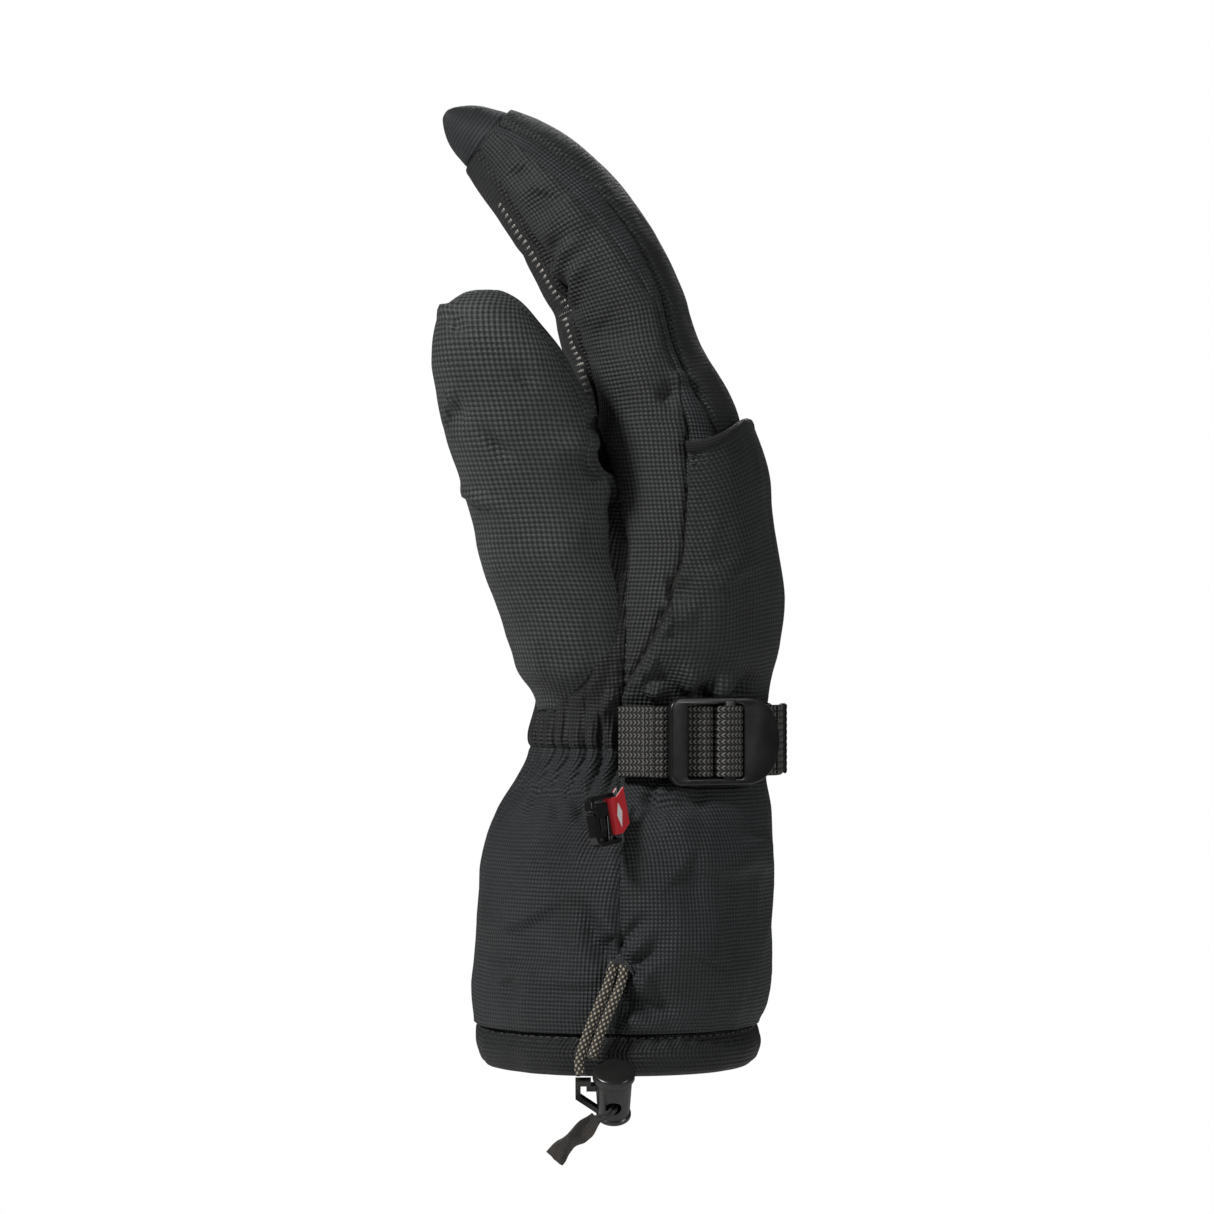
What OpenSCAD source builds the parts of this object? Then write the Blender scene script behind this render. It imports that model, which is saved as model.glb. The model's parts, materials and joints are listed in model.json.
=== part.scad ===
// Insulated ski mitten, right hand, gauntlet cuff.
// Millimetres. Origin at the centre of the cuff's mouth, +Z towards the
// fingertips, +X towards the back of the hand, -Y towards the thumb.

/* [Layers] */
// Outer shell fabric thickness
shell_t = 1.2; // [0.8:0.1:1.4]
// Where the insulation starts, measured in from the outer face
insulation_in = 1.4; // [1.3:0.1:2]
// Where the insulation ends, measured in from the outer face
insulation_out = 4.8; // [3:0.1:4.8]
// Outer face of the waterproof insert
insert_in = 5; // [4.9:0.1:5.4]
// Inner face of the waterproof insert
insert_out = 5.5; // [5.2:0.1:5.6]
// Outer face of the lining
lining_in = 5.7; // [5.7:0.1:6.2]
// Inner face of the lining
lining_out = 7.2; // [6.6:0.1:8]
// Height of the folded hem band
hem_h = 15; // [10:1:18]

/* [Wrist strap] */
// Webbing width
webbing_w = 25; // [20:1:26]
// Webbing thickness
webbing_t = 1.4; // [1:0.1:1.6]
// Height of the strap's centre line above the cuff mouth
strap_z = 116; // [114:0.5:117]

/* [Buckle] */
// Overall width of the ladder buckle
buckle_w = 31; // [29:0.5:34]
// Thickness of the buckle frame
buckle_t = 3; // [2.4:0.1:3.4]
// Overall length of the buckle with its lifting tab
buckle_len = 45.4; // [42:0.2:47]

/* [Drawcord] */
// Drawcord diameter
cord_d = 3.6; // [3:0.1:4]
// Height of the drawcord channel
channel_z = 38.5; // [36:0.5:40]

/* [Cord lock] */
// Diameter of the cord lock's button
button_d = 14.6; // [13:0.1:15]
// Barrel diameter under the button
barrel_d = 12.8; // [11:0.1:13]
// Length of the cord lock
lock_len = 20; // [19:0.1:21]
// Lean of the cord lock's axis
lock_lean = 32; // [28:1:34]

/* [Glove clip] */
// Reach of the clip from its bar
clip_reach = 15; // [13:0.5:16]
// Height of the clip
clip_h = 17.6; // [16:0.2:19]
// Thickness of the clip
clip_t = 3; // [2.4:0.1:3.4]

/* [Hidden] */
$fn = 48;
// Body stations: centre x, centre z, lean, half depth, half width, squareness, tip shift
B = [
  [0.5, 0, 0, 49.5, 60, 2.3, 0], [0.5, 8, 0, 50.5, 60.5, 2.3, 0],
  [-0.3, 15, 0, 50, 59.5, 2.3, 0], [0.8, 23, 0, 51.8, 60, 2.3, 0],
  [1.8, 38, 0, 52.2, 60, 2.3, 0], [2.4, 52, 0, 52.2, 60, 2.3, 0],
  [3.2, 66, 0, 51.8, 59, 2.3, 0], [4.8, 80, 0, 50.6, 56, 2.3, 0],
  [6.8, 92, 0, 47.8, 50, 2.25, 0], [8.6, 101, 0, 44.1, 43.5, 2.2, 0],
  [10.8, 109, 0, 41.2, 40.5, 2.2, 0], [10.8, 117, 0, 41.2, 40, 2.2, 0],
  [11.3, 124, 0, 41, 40, 2.2, 0], [12.4, 131, 0, 40.3, 41.5, 2.25, 0],
  [13.9, 139, 0, 39.4, 44.5, 2.35, 0], [17, 152, 0, 39, 48.5, 2.5, 0],
  [20.1, 167, 0, 37.1, 51, 2.6, 0], [21.4, 181, 0, 34.8, 52.5, 2.6, 0],
  [21.3, 196, 0, 32.3, 53, 2.6, 0], [20.9, 210, 0, 29.9, 53, 2.6, 0],
  [19.2, 224, 0, 26.4, 52.5, 2.6, 0], [15, 236, 2.3, 25.2, 51.5, 2.6, 0],
  [5.5, 253, 7.3, 23.7, 50.5, 2.6, 0], [0, 270.5, 14, 22.7, 49.5, 2.6, 0],
  [-7.8, 287.5, 22, 22.5, 48, 2.5, 0], [-19.4, 304.6, 30, 21.5, 45, 2.4, 0.05],
  [-32.2, 319.6, 40, 18, 39, 2.3, 0.2], [-43, 328.7, 50, 14, 30, 2.2, 0.5],
  [-50.3, 333, 55, 11, 23, 2.2, 0.75], [-56.5, 337, 55, 7.5, 14, 2.1, 0.95],
  [-61, 340, 55, 2.5, 5, 2, 1]
];
// Thumb stations: centre x, y, z, half depth, half width, squareness, tip shift
T = [
  [-12, -12, 122, 17, 16, 2.3, 0], [-13, -16, 131, 19, 19.5, 2.3, 0],
  [-14.5, -20, 139, 20.5, 22, 2.3, 0], [-17.5, -25, 152, 21.5, 24, 2.4, 0],
  [-21.5, -30.5, 166, 22, 24.5, 2.4, 0], [-26, -35.5, 180, 22.5, 24.5, 2.4, 0],
  [-27, -40, 193, 24.5, 24, 2.4, 0], [-29.8, -43.8, 205, 24.6, 23.4, 2.4, 0],
  [-31.8, -46.4, 213, 24.7, 23, 2.4, 0], [-34.3, -49.5, 222, 24.7, 22.5, 2.4, 0],
  [-36.3, -53, 232, 24.8, 22, 2.4, 0], [-39.4, -57, 243, 23.9, 21.5, 2.4, 0.05],
  [-41.5, -59, 250, 22.2, 20.5, 2.3, 0.15], [-43.7, -60.5, 257, 19.5, 18.5, 2.2, 0.4],
  [-45.4, -61.5, 264, 15.5, 14.5, 2.1, 0.7], [-45.6, -61.8, 269, 10.5, 9.5, 2, 0.9],
  [-45.6, -61.8, 272, 4.5, 4, 2, 1]
];
body_pts = 24;
thumb_pts = 16;
wrist_low = 101;
wrist_high = 127;
hand_top = 224;
finger_start = 236;
cap_start = 325;
thumb_base_top = 182;
thumb_start = 206;
seam_gap = 0.15;
webbing_low = strap_z - webbing_w / 2;
buckle_at = [17.3, -50.5, strap_z];
buckle_turn = 30;
bar_u = 15.6;
bar_r = 1.3;
clip_at = [-1.8, -60.5, 90];
clip_lean = -10;
clip_turn = 237;
clip_bar_r = 1.2;
lock_at = [-1.3, -72, 4];
press = 2.6;
stem_r = 3.92;
bore_r = 4;
hole_z = -12.5;
// Drawcord routes from the channel's exit to the cord lock
leg_front = [
  [2.2, -62.9, 37], [1.2, -64, 33], [-0.6, -65, 28.5], [-2.6, -65.9, 24],
  [-4.5, -66.7, 19.5], [-6.3, -67.5, 15], [-7.8, -68.3, 11], [-8.9, -69.3, 7.8]
];
leg_rear = [
  [-1.9, -62.9, 37], [-3.3, -64, 32.5], [-5.3, -65, 28], [-7.2, -65.9, 23.5],
  [-9.1, -66.7, 19], [-10.9, -67.5, 14.5], [-12.3, -68.5, 10], [-13.2, -69.4, 5.6],
  [-12.6, -70.4, 1.9]
];
// Root strap, seen from above, from the buckle round the back to the far seam
strap_path = [
  [43, -32], [47.5, -27], [51.5, -20], [54.2, -11], [55, 0], [54.2, 11],
  [51, 20.5], [45.5, 29], [37, 36.5], [27, 41.3], [16, 43.4], [6, 43.6], [1, 43.4]
];
tail_path = [[56.2, -26.4], [58, -21], [59.1, -14], [59.4, -8], [59.4, -2]];
anchor_path = [[14.6, -49.8], [10, -47.9], [5, -45.8], [0.8, -44.4]];

// Station values at a fractional index
function at(S, s) =
  let (i = min(floor(s), len(S) - 2), t = s - i) S[i] * (1 - t) + S[i + 1] * t;

// Index of a height in a station list
function index_of(S, c, z) =
  let (i = [for (k = [0:len(S) - 2]) if (S[k][c] <= z && z < S[k + 1][c]) k][0])
  i + (z - S[i][c]) / (S[i + 1][c] - S[i][c]);
function bz(z) = index_of(B, 1, z);
function tz(z) = index_of(T, 2, z);

// Signed power that rounds or squares a section
function sp(c, e) = sign(c) * pow(abs(c), e);
function inset(r, o) = r - o * min(1, r / 14);

// A point on the body's section, o below its outer face
function bpt(s, a, o) =
  let (
    q = at(B, s),
    x = inset(q[3], o) * sp(cos(a), 2 / q[5]),
    y = inset(q[4], o) * sp(sin(a), 2 / q[5]),
    h = -o * q[6]
  )
  [q[0] + x * cos(q[2]) - h * sin(q[2]), y, q[1] + x * sin(q[2]) + h * cos(q[2])];

// A point on the thumb's section, o below its outer face
function tpt(s, a, o) =
  let (q = at(T, s))
  [
    q[0] + inset(q[3], o) * sp(cos(a), 2 / q[5]),
    q[1] + inset(q[4], o) * sp(sin(a), 2 / q[5]), q[2] - o * q[6]
  ];

// Section indices from s0 to s1, with every station between
function steps(s0, s1) = concat([s0], [for (i = [floor(s0) + 1:ceil(s1) - 1]) i], [s1]);

function body_rings(s0, s1, o, a0 = 0, a1 = 345) =
  [for (s = steps(s0, s1)) [for (a = [a0:360 / body_pts:a1 + 0.01]) bpt(s, a, o)]];
function thumb_rings(s0, s1, o, a0 = 0, a1 = 337.5) =
  [for (s = steps(s0, s1)) [for (a = [a0:360 / thumb_pts:a1 + 0.01]) tpt(s, a, o)]];

function mean(P) = [for (k = [0:2]) [for (p = P) p[k]] * [for (p = P) 1] / len(P)];

// The side faces between rings of p points, n of them per ring
function sides(m, p, n, b = 0, flip = false) =
  [
    for (i = [0:m - 1], j = [0:n - 1])
    let (
      c = b + i * p + j, d = b + i * p + (j + 1) % p,
      e = b + (i + 1) * p + j, f = b + (i + 1) * p + (j + 1) % p
    )
    each flip ? [[c, f, e], [c, d, f]] : [[c, e, f], [c, f, d]]
  ];

// A sheet with thickness between outer rings O and inner rings I
module skin(O, I, wrap = true, tip = false) {
  m = len(O) - 1;
  p = len(O[0]);
  n = wrap ? p : p - 1;
  N = (m + 1) * p;
  top = m * p;
  q = p - 1;
  low = [
    for (j = [0:n - 1]) let (k = (j + 1) % p) each [[j, k, N + k], [j, N + k, N + j]]
  ];
  high = [
    for (j = [0:n - 1])
    let (c = top + j, d = top + (j + 1) % p)
    each tip
      ? [[d, c, 2 * N], [N + c, N + d, 2 * N + 1]]
      : [[d, c, N + c], [d, N + c, N + d]]
  ];
  edges = wrap ? [] : [
    for (i = [0:m - 1])
    let (c = i * p, e = c + p, d = c + q, f = e + q)
    each [[e, c, N + c], [e, N + c, N + e], [d, f, N + f], [d, N + f, N + d]]
  ];
  ends = tip ? [mean(O[m]), mean(I[m])] : [];
  polyhedron(
    points = concat([for (r = O) each r], [for (r = I) each r], ends),
    faces = concat(sides(m, p, n), sides(m, p, n, N, true), low, high, edges),
    convexity = 8
  );
}

// A closed solid through rings
module loft(R) {
  m = len(R) - 1;
  p = len(R[0]);
  N = (m + 1) * p;
  polyhedron(
    points = concat([for (r = R) each r], [mean(R[0]), mean(R[m])]),
    faces = concat(
      sides(m, p, p),
      [for (j = [0:p - 1]) [j, (j + 1) % p, N]],
      [for (j = [0:p - 1]) [m * p + (j + 1) % p, m * p + j, N + 1]]
    ),
    convexity = 8
  );
}

// Soft layers cut to each other as one mesh
module sewn() resize([0, 0, 0]) children();

module body_band(z0, z1, o0, o1)
  skin(body_rings(bz(z0), bz(z1), o0), body_rings(bz(z0), bz(z1), o1));

module body_panel(s0, s1, a0, a1, o0 = 0, o1 = shell_t)
  skin(body_rings(s0, s1, o0, a0, a1), body_rings(s0, s1, o1, a0, a1), wrap = false);

module body_core(z0, z1, o) loft(body_rings(bz(z0), bz(z1), o));

module thumb_core(z0, z1, o) loft(thumb_rings(tz(z0), tz(z1), o));

module body_pocket(s0, o0, o1)
  skin(body_rings(s0, len(B) - 1, o0), body_rings(s0, len(B) - 1, o1), tip = true);

// One layer of the hand, with the root of the thumb opening into it
module hand_layer(z0, o0, o1) {
  sewn() difference() {
    union() {
      body_core(z0, hand_top - 0.2, o0);
      thumb_core(max(123 + o0, z0), thumb_base_top, o0);
    }
    body_core(z0 - 0.5, hand_top + 1, o1);
    thumb_core(max(123.2 + o1, z0 - 0.5), thumb_base_top + 1, o1);
  }
}

module thumb_layer(o0, o1) {
  s0 = tz(thumb_start);
  e = len(T) - 1;
  skin(thumb_rings(s0, e, o0), thumb_rings(s0, e, o1), tip = true);
}

// A flat strip bent along a path seen from above
module strip(P, t, z0, h) {
  n = len(P) - 1;
  d = [for (i = [0:n]) let (v = P[min(i + 1, n)] - P[max(i - 1, 0)]) v / norm(v)];
  side = [for (i = [0:n]) [-d[i][1], d[i][0]] * t / 2];
  translate([0, 0, z0]) linear_extrude(height = h)
    polygon(concat([for (i = [0:n]) P[i] + side[i]], [for (i = [n:-1:0]) P[i] - side[i]]));
}

// A round cord swept along a route, one ring at each point
module cord(P, r, n = 8) {
  k = len(P) - 1;
  loft([
    for (i = [0:k])
    let (
      v = P[min(i + 1, k)] - P[max(i - 1, 0)], t = v / norm(v),
      c = cross([0, 1, 0], t), u = c / norm(c), w = cross(t, u)
    )
    [for (j = [0:n - 1]) P[i] + r * (cos(360 * j / n) * u + sin(360 * j / n) * w)]
  ]);
}

module at_buckle() translate(buckle_at) rotate([0, 0, buckle_turn]) children();
module at_lock() translate(lock_at) rotate([lock_lean, 0, 0]) children();
module at_clip() translate(clip_at) rotate([0, clip_lean, 0]) rotate([0, 0, clip_turn]) children();

// ---- gauntlet ----

module cuff_hem() color("#23272a") body_band(0, hem_h - 0.2, 0, lining_out);

module cuff_palm_panel() color("#2a2f31")
  body_panel(bz(hem_h), bz(wrist_low), 90, 270);

module cuff_back_panel() color("#262b2d")
  body_panel(bz(hem_h), bz(wrist_low), -90, 90);

module wrist_gather() color("#222628")
  body_band(wrist_low + seam_gap, wrist_high, 0, shell_t);

module wrist_elastic() color("#3a3a3c") body_band(107, 124, 1.5, 3);

module hand_panel(a0, a1) {
  sewn() difference() {
    body_panel(bz(wrist_high + seam_gap), bz(hand_top), a0, a1);
    thumb_core(122.2, thumb_start, -seam_gap);
  }
}

module hand_palm_panel() color("#2b3032") hand_panel(105, 240);

module thumb_side_gusset() color("#303537") hand_panel(240, 285);

module hand_back_panel() color("#282d2f")
  body_panel(bz(wrist_high + seam_gap), bz(hand_top), -75, 75);

module outer_side_gusset() color("#2f3436")
  body_panel(bz(wrist_high + seam_gap), bz(hand_top), 75, 105);

module thumb_base_panel() color("#383d3f") {
  sewn() difference() {
    thumb_core(122.2, thumb_base_top, 0);
    thumb_core(122, thumb_base_top + 1, shell_t);
    body_core(118, 200, 0);
  }
}

module back_overlay() color("#2a2e30")
  body_panel(bz(136), bz(221), -75, 75, -1.5, -0.2);

module overlay_binding() color("#1b1d1f")
  body_panel(bz(221.2), bz(229), -75, 75, -2.6, -1);

module hand_insulation() color("#d8d8d2") hand_layer(128.5, insulation_in, insulation_out);

module hand_insert() color("#8f9da6") hand_layer(hem_h, insert_in, insert_out);

module hand_lining() color("#4b4f54") hand_layer(hem_h, lining_in, lining_out);

module wrist_strap() color("#1c1e1d")
  strip(strap_path, webbing_t, webbing_low, webbing_w);

module strap_anchor() color("#1c1e1d")
  strip(anchor_path, 2 * webbing_t + 0.2, webbing_low, webbing_w);

module channel_cord() color("#3b3a35")
  body_band(channel_z - 1.7, channel_z + 1.7, 1.4, 4.8);

module channel_exit() color("#1d2022")
  translate([-4.6, -61, channel_z - 3]) cube([9.6, 0.9, 6]);

module loop_label() color("#d41222") {
  translate(clip_at) rotate([0, clip_lean, 0]) translate([0, 0, -7]) linear_extrude(height = 14)
    difference() {
      union() {
        circle(r = 2.1);
        rotate([0, 0, 52]) translate([0, -2.1]) square([6.8, 4.2]);
      }
      circle(r = clip_bar_r + 0.25);
      rotate([0, 0, 52]) translate([1, -0.9]) square([7, 1.8]);
    }
}

// ---- fingers ----

finger_s = bz(finger_start);
cap_s = bz(cap_start);

module finger_back_panel() color("#262a2c") body_panel(finger_s, cap_s, -75, 75);

module finger_gusset_outer() color("#2d3234") body_panel(finger_s, cap_s, 75, 105);

module finger_palm_panel() color("#2b3032") body_panel(finger_s, cap_s, 105, 255);

module finger_gusset_inner() color("#2f3436") body_panel(finger_s, cap_s, 255, 285);

module fingertip_cap() color("#25292b") body_pocket(cap_s + 0.01, 0, shell_t);

module palm_grip_patch() color("#3c3a33")
  body_panel(bz(240), bz(318), 150, 210, -0.9, -0.1);

module finger_insulation() color("#d8d8d2")
  body_pocket(finger_s, insulation_in, insulation_out);

module finger_insert() color("#8f9da6") body_pocket(finger_s, insert_in, insert_out);

module finger_lining() color("#4b4f54") body_pocket(finger_s, lining_in, lining_out);

// Soft zone at the knuckles that lets the fingers bend
module finger_flex_zone() color("#2a2e30") {
  skin(
    body_rings(bz(hand_top + 0.3), bz(finger_start - 0.3), 0),
    body_rings(bz(hand_top + 0.3), bz(finger_start - 0.3), shell_t)
  );
  skin(
    body_rings(bz(hand_top + 0.3), bz(finger_start - 0.3), lining_in),
    body_rings(bz(hand_top + 0.3), bz(finger_start - 0.3), lining_out)
  );
}

// ---- thumb ----

module thumb_shell_half(a0, a1) {
  s0 = tz(thumb_start);
  e = len(T) - 1;
  skin(thumb_rings(s0, e, 0, a0, a1), thumb_rings(s0, e, shell_t, a0, a1), wrap = false);
}

module thumb_front_panel() color("#3a3f41") thumb_shell_half(180, 360);

module thumb_rear_panel() color("#363b3d") thumb_shell_half(0, 180);

module thumb_insulation() color("#d8d8d2") thumb_layer(insulation_in, insulation_out);

module thumb_insert() color("#8f9da6") thumb_layer(insert_in, insert_out);

module thumb_lining() color("#4b4f54") thumb_layer(lining_in, lining_out);

// Soft zone at the root of the thumb
module thumb_flex_zone() color("#34393b") {
  sewn() difference() {
    thumb_core(thumb_base_top + 0.3, thumb_start - 0.3, 0);
    thumb_core(thumb_base_top - 1, thumb_start + 1, shell_t);
    body_core(150, hand_top - 1, -0.3);
  }
}

// ---- buckle ----

module buckle_plate(u0, u1, h0, h1, y0 = -buckle_t, y1 = 0)
  translate([u0, y0, h0]) cube([u1 - u0, y1 - y0, h1 - h0]);

module ladder_buckle() color("#141414") at_buckle() {
  half = buckle_w / 2;
  tab_u = 29.6;
  reach = buckle_len - tab_u;
  difference() {
    union() {
      buckle_plate(2.5, 7, -half, half);
      buckle_plate(0, 7, -half + 4, half - 4);
      for (s = [-1, 1]) {
        translate([4, 0, s * (half - 4)]) rotate([90, 0, 0]) cylinder(r = 4, h = buckle_t);
        buckle_plate(6, tab_u + 1, s > 0 ? half - 2.6 : -half, s > 0 ? half : -half + 2.6);
      }
      buckle_plate(tab_u, tab_u + 5, -half, half);
      translate([tab_u + 4, 0, 0]) intersection() {
        rotate([90, 0, 0]) cylinder(r = half, h = buckle_t);
        translate([0, -buckle_t, -half]) cube([reach - 4, buckle_t, buckle_w]);
      }
    }
    translate([tab_u + 8, -buckle_t - 1, -6]) cube([1, 1.5, 12]);
  }
  translate([bar_u, 0.4, -half + 1]) cylinder(r = bar_r, h = buckle_w - 2);
  for (s = [-1, 1])
    translate([bar_u - 1.6, -1, s > 0 ? half - 2.6 : -half]) cube([3.2, 3, 2.6]);
  buckle_plate(21.4, 26.8, -half + 1, half - 1, -3.3, 1.4);
}

// Webbing doubled round the buckle's bar
module anchor_loop() color("#1c1e1d") at_buckle() translate([0, 0, -webbing_w / 2]) {
  linear_extrude(height = webbing_w) difference() {
    translate([bar_u, 0.4]) circle(r = bar_r + 0.25 + webbing_t);
    translate([bar_u, 0.4]) circle(r = bar_r + 0.25);
    translate([bar_u - 4, -4]) square([3.4, 8.8]);
  }
  strip([[bar_u - 0.7, -1.85], [11, -0.9], [7.6, 0.95], [-0.4, 1]], webbing_t, 0, webbing_w);
  strip([[bar_u - 0.7, 2.62], [7.6, 2.6], [-0.4, 2.6]], webbing_t, 0, webbing_w);
}

// Adjustable webbing woven over the grip bar, with its tail run below the tab
module strap_weave() color("#1c1e1d") at_buckle()
  strip(
    [
      [30.4, 3.2], [21.6, 3.2], [20.2, 2.7], [19.7, 1.4], [19.7, -2.4], [20.4, -4],
      [22, -4.7], [26, -4.7], [27.6, -4.1], [28.3, -2.6], [28.5, -0.6], [29.4, 0.8],
      [31, 1.2], [44.6, 1.2]
    ],
    webbing_t, -webbing_w / 2, webbing_w
  );

module strap_tail() color("#1c1e1d") {
  strip(tail_path, webbing_t, webbing_low, webbing_w);
  translate([60.3, -9, webbing_low]) cube([1.3, 7, webbing_w]);
}

// ---- glove clip ----

module glove_clip() color("#0c0c0c") at_clip() {
  half = clip_h / 2;
  arm = 2.4;
  back = -1.6;
  cylinder(r = clip_bar_r, h = clip_h - 2, center = true);
  rotate([90, 0, 0]) translate([0, 0, -clip_t / 2]) linear_extrude(height = clip_t)
    polygon([
      [back, half], [clip_reach - 4, half], [clip_reach - 1.6, half - 1.2],
      [clip_reach - 1, half - 3.4], [clip_reach - 1, 3.6], [clip_reach - 1 - arm, 2.8],
      [clip_reach - 1 - arm, half - 3], [clip_reach - 4.2, half - 1.7], [back, half - 1.7]
    ]);
  rotate([90, 0, 0]) translate([0, 0, -clip_t / 2]) linear_extrude(height = clip_t)
    polygon([
      [back, -half], [clip_reach - 4, -half], [clip_reach - 1.6, -half + 1.2],
      [clip_reach - 1, -half + 3.4], [clip_reach - 1, 2.8], [clip_reach - 1 - arm, 2],
      [clip_reach - 1 - arm, -half + 3], [clip_reach - 4.2, -half + 1.7],
      [6.6, -half + 1.7], [5, 1.5], [3.6, 1.2], [5, -half + 1.7], [back, -half + 1.7]
    ]);
}

// ---- cord lock ----

module lock_body() color("#101010") at_lock() {
  r = barrel_d / 2;
  difference() {
    union() {
      rotate_extrude() polygon([
        [0, -lock_len], [5.9, -lock_len], [6, -lock_len + 0.4], [6, -lock_len + 1.4],
        [5.5, -lock_len + 1.8], [5.6, -lock_len + 2.4], [r, -4.2], [0, -4.2]
      ]);
      translate([-13.2, -1.2, -6.4]) cube([5.4, 2.4, 2.2]);
      translate([-9.4, -1.2, -8.6]) cube([1.6, 2.4, 4.4]);
      translate([-9.4, -1.2, -8.6]) cube([5, 2.4, 2.4]);
      translate([-13.2, -1.2, -12]) cube([1.8, 2.4, 7]);
      translate([-13.2, -1.2, -12]) rotate([0, 40, 0]) cube([11, 2.4, 1.8]);
    }
    translate([0, 0, -9.2]) cylinder(r = bore_r, h = 6);
    translate([0, -10, hole_z]) rotate([-90, 0, 0]) cylinder(r = 2.7, h = 20);
  }
}

module lock_spring() color("#9a9a9a") at_lock() {
  for (k = [0:3]) translate([0, 0, -9.1 + 0.66 * k]) difference() {
    cylinder(r = 3.6, h = 0.5);
    translate([0, 0, -1]) cylinder(r = 2.9, h = 3);
  }
}

module lock_button() color("#151515") at_lock() {
  r = button_d / 2;
  rotate_extrude() polygon([
    [0, -6.4], [stem_r, -6.4], [stem_r, -1.3], [6.75, -1.3], [6.75, -3.4], [r, -3.4],
    [r, -1], [r - 0.4, -0.5], [r - 1.2, -0.2], [0, 0]
  ]);
}

// ---- pull tab ----

module tab_loop() color("#202020")
  cord([
    [-8.6, -70.5, -12.6], [-5.9, -70.8, -11.8], [-3.7, -70.7, -11.1], [-2.4, -69.8, -10.1],
    [-2, -67.6, -8.9], [-1.4, -66, -8.4], [-0.6, -67.7, -9.2], [-1, -69.6, -10.6],
    [-4, -70.6, -12.8], [-7.6, -70.6, -14.2]
  ], 0.6);

module pull_tab() color("#242220")
  translate([-8.2, -70.5, -13.4]) rotate([0, 45.5, 0]) {
    translate([-2.7, -0.8, -17.6]) cube([5.4, 1.6, 17.2]);
    translate([0, -0.8, -17.6]) rotate([-90, 0, 0]) cylinder(r = 2.7, h = 1.6);
  }

module drawcord_front() color("#57534a") cord(leg_front, cord_d / 2);

module drawcord_rear() color("#57534a") cord(leg_rear, cord_d / 2);

cuff_hem();
cuff_palm_panel();
cuff_back_panel();
wrist_gather();
wrist_elastic();
hand_palm_panel();
thumb_side_gusset();
hand_back_panel();
outer_side_gusset();
thumb_base_panel();
back_overlay();
overlay_binding();
hand_insulation();
hand_insert();
hand_lining();
wrist_strap();
strap_anchor();
channel_cord();
channel_exit();
loop_label();
finger_back_panel();
finger_gusset_outer();
finger_palm_panel();
finger_gusset_inner();
fingertip_cap();
palm_grip_patch();
finger_insulation();
finger_insert();
finger_lining();
finger_flex_zone();
thumb_front_panel();
thumb_rear_panel();
thumb_insulation();
thumb_insert();
thumb_lining();
thumb_flex_zone();
ladder_buckle();
anchor_loop();
strap_weave();
strap_tail();
glove_clip();
lock_body();
lock_spring();
lock_button();
tab_loop();
pull_tab();
drawcord_front();
drawcord_rear();
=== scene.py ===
import json
import math

import bmesh
import bpy
import numpy as np
from mathutils import Matrix, Vector


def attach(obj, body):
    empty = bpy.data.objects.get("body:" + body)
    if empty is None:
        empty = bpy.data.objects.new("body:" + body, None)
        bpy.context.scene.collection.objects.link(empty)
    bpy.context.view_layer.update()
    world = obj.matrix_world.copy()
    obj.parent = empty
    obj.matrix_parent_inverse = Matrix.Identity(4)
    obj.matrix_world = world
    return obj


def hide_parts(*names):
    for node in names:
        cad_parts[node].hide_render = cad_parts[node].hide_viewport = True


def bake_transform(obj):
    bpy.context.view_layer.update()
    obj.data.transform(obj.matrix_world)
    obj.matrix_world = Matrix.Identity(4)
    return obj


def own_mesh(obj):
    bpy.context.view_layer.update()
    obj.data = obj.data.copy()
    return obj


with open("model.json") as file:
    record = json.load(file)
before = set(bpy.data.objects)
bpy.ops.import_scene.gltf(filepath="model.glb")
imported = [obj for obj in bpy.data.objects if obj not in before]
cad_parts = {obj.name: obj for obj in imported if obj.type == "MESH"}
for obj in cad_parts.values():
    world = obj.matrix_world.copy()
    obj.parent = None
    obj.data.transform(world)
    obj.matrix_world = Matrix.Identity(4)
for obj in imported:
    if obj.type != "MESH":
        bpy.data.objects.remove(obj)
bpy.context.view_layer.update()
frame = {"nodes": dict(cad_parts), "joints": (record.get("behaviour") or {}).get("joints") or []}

# Every length below is in millimetres, in the row frame, and becomes metres when a mesh is made.
MM = 0.001

# ---------------------------------------------------------------- driving sizes

SHELL = 1.2  # thickness of the shell fabric
HEM = 15.0  # height of the hem band
WRIST_LINE = 113.0  # height of the gathered seam
WRIST_GIRTH = 262.0
GATHER_PITCH = 5.8  # distance between the wrist's pleats
CELL = 1.35  # length of a mesh cell along a panel
FOLD_GAIN = 2.2  # scales the height of every fold below
FOLD_SPREAD = 1.25  # scales the width of every fold below
BODY_EDGE_CLOSENESS = 0.55  # how much closer the mesh columns stand at a panel's edges
FILLET_REACH = 15.0  # how near two surfaces come before they swell to meet
PUCKER = 0.35  # height of the small pleats beside a seam
CHANNEL_Z = 38.5  # height of the drawcord's channel
WEBBING = 25.0  # width of the webbing
WEBBING_ROWS = 11

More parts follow.
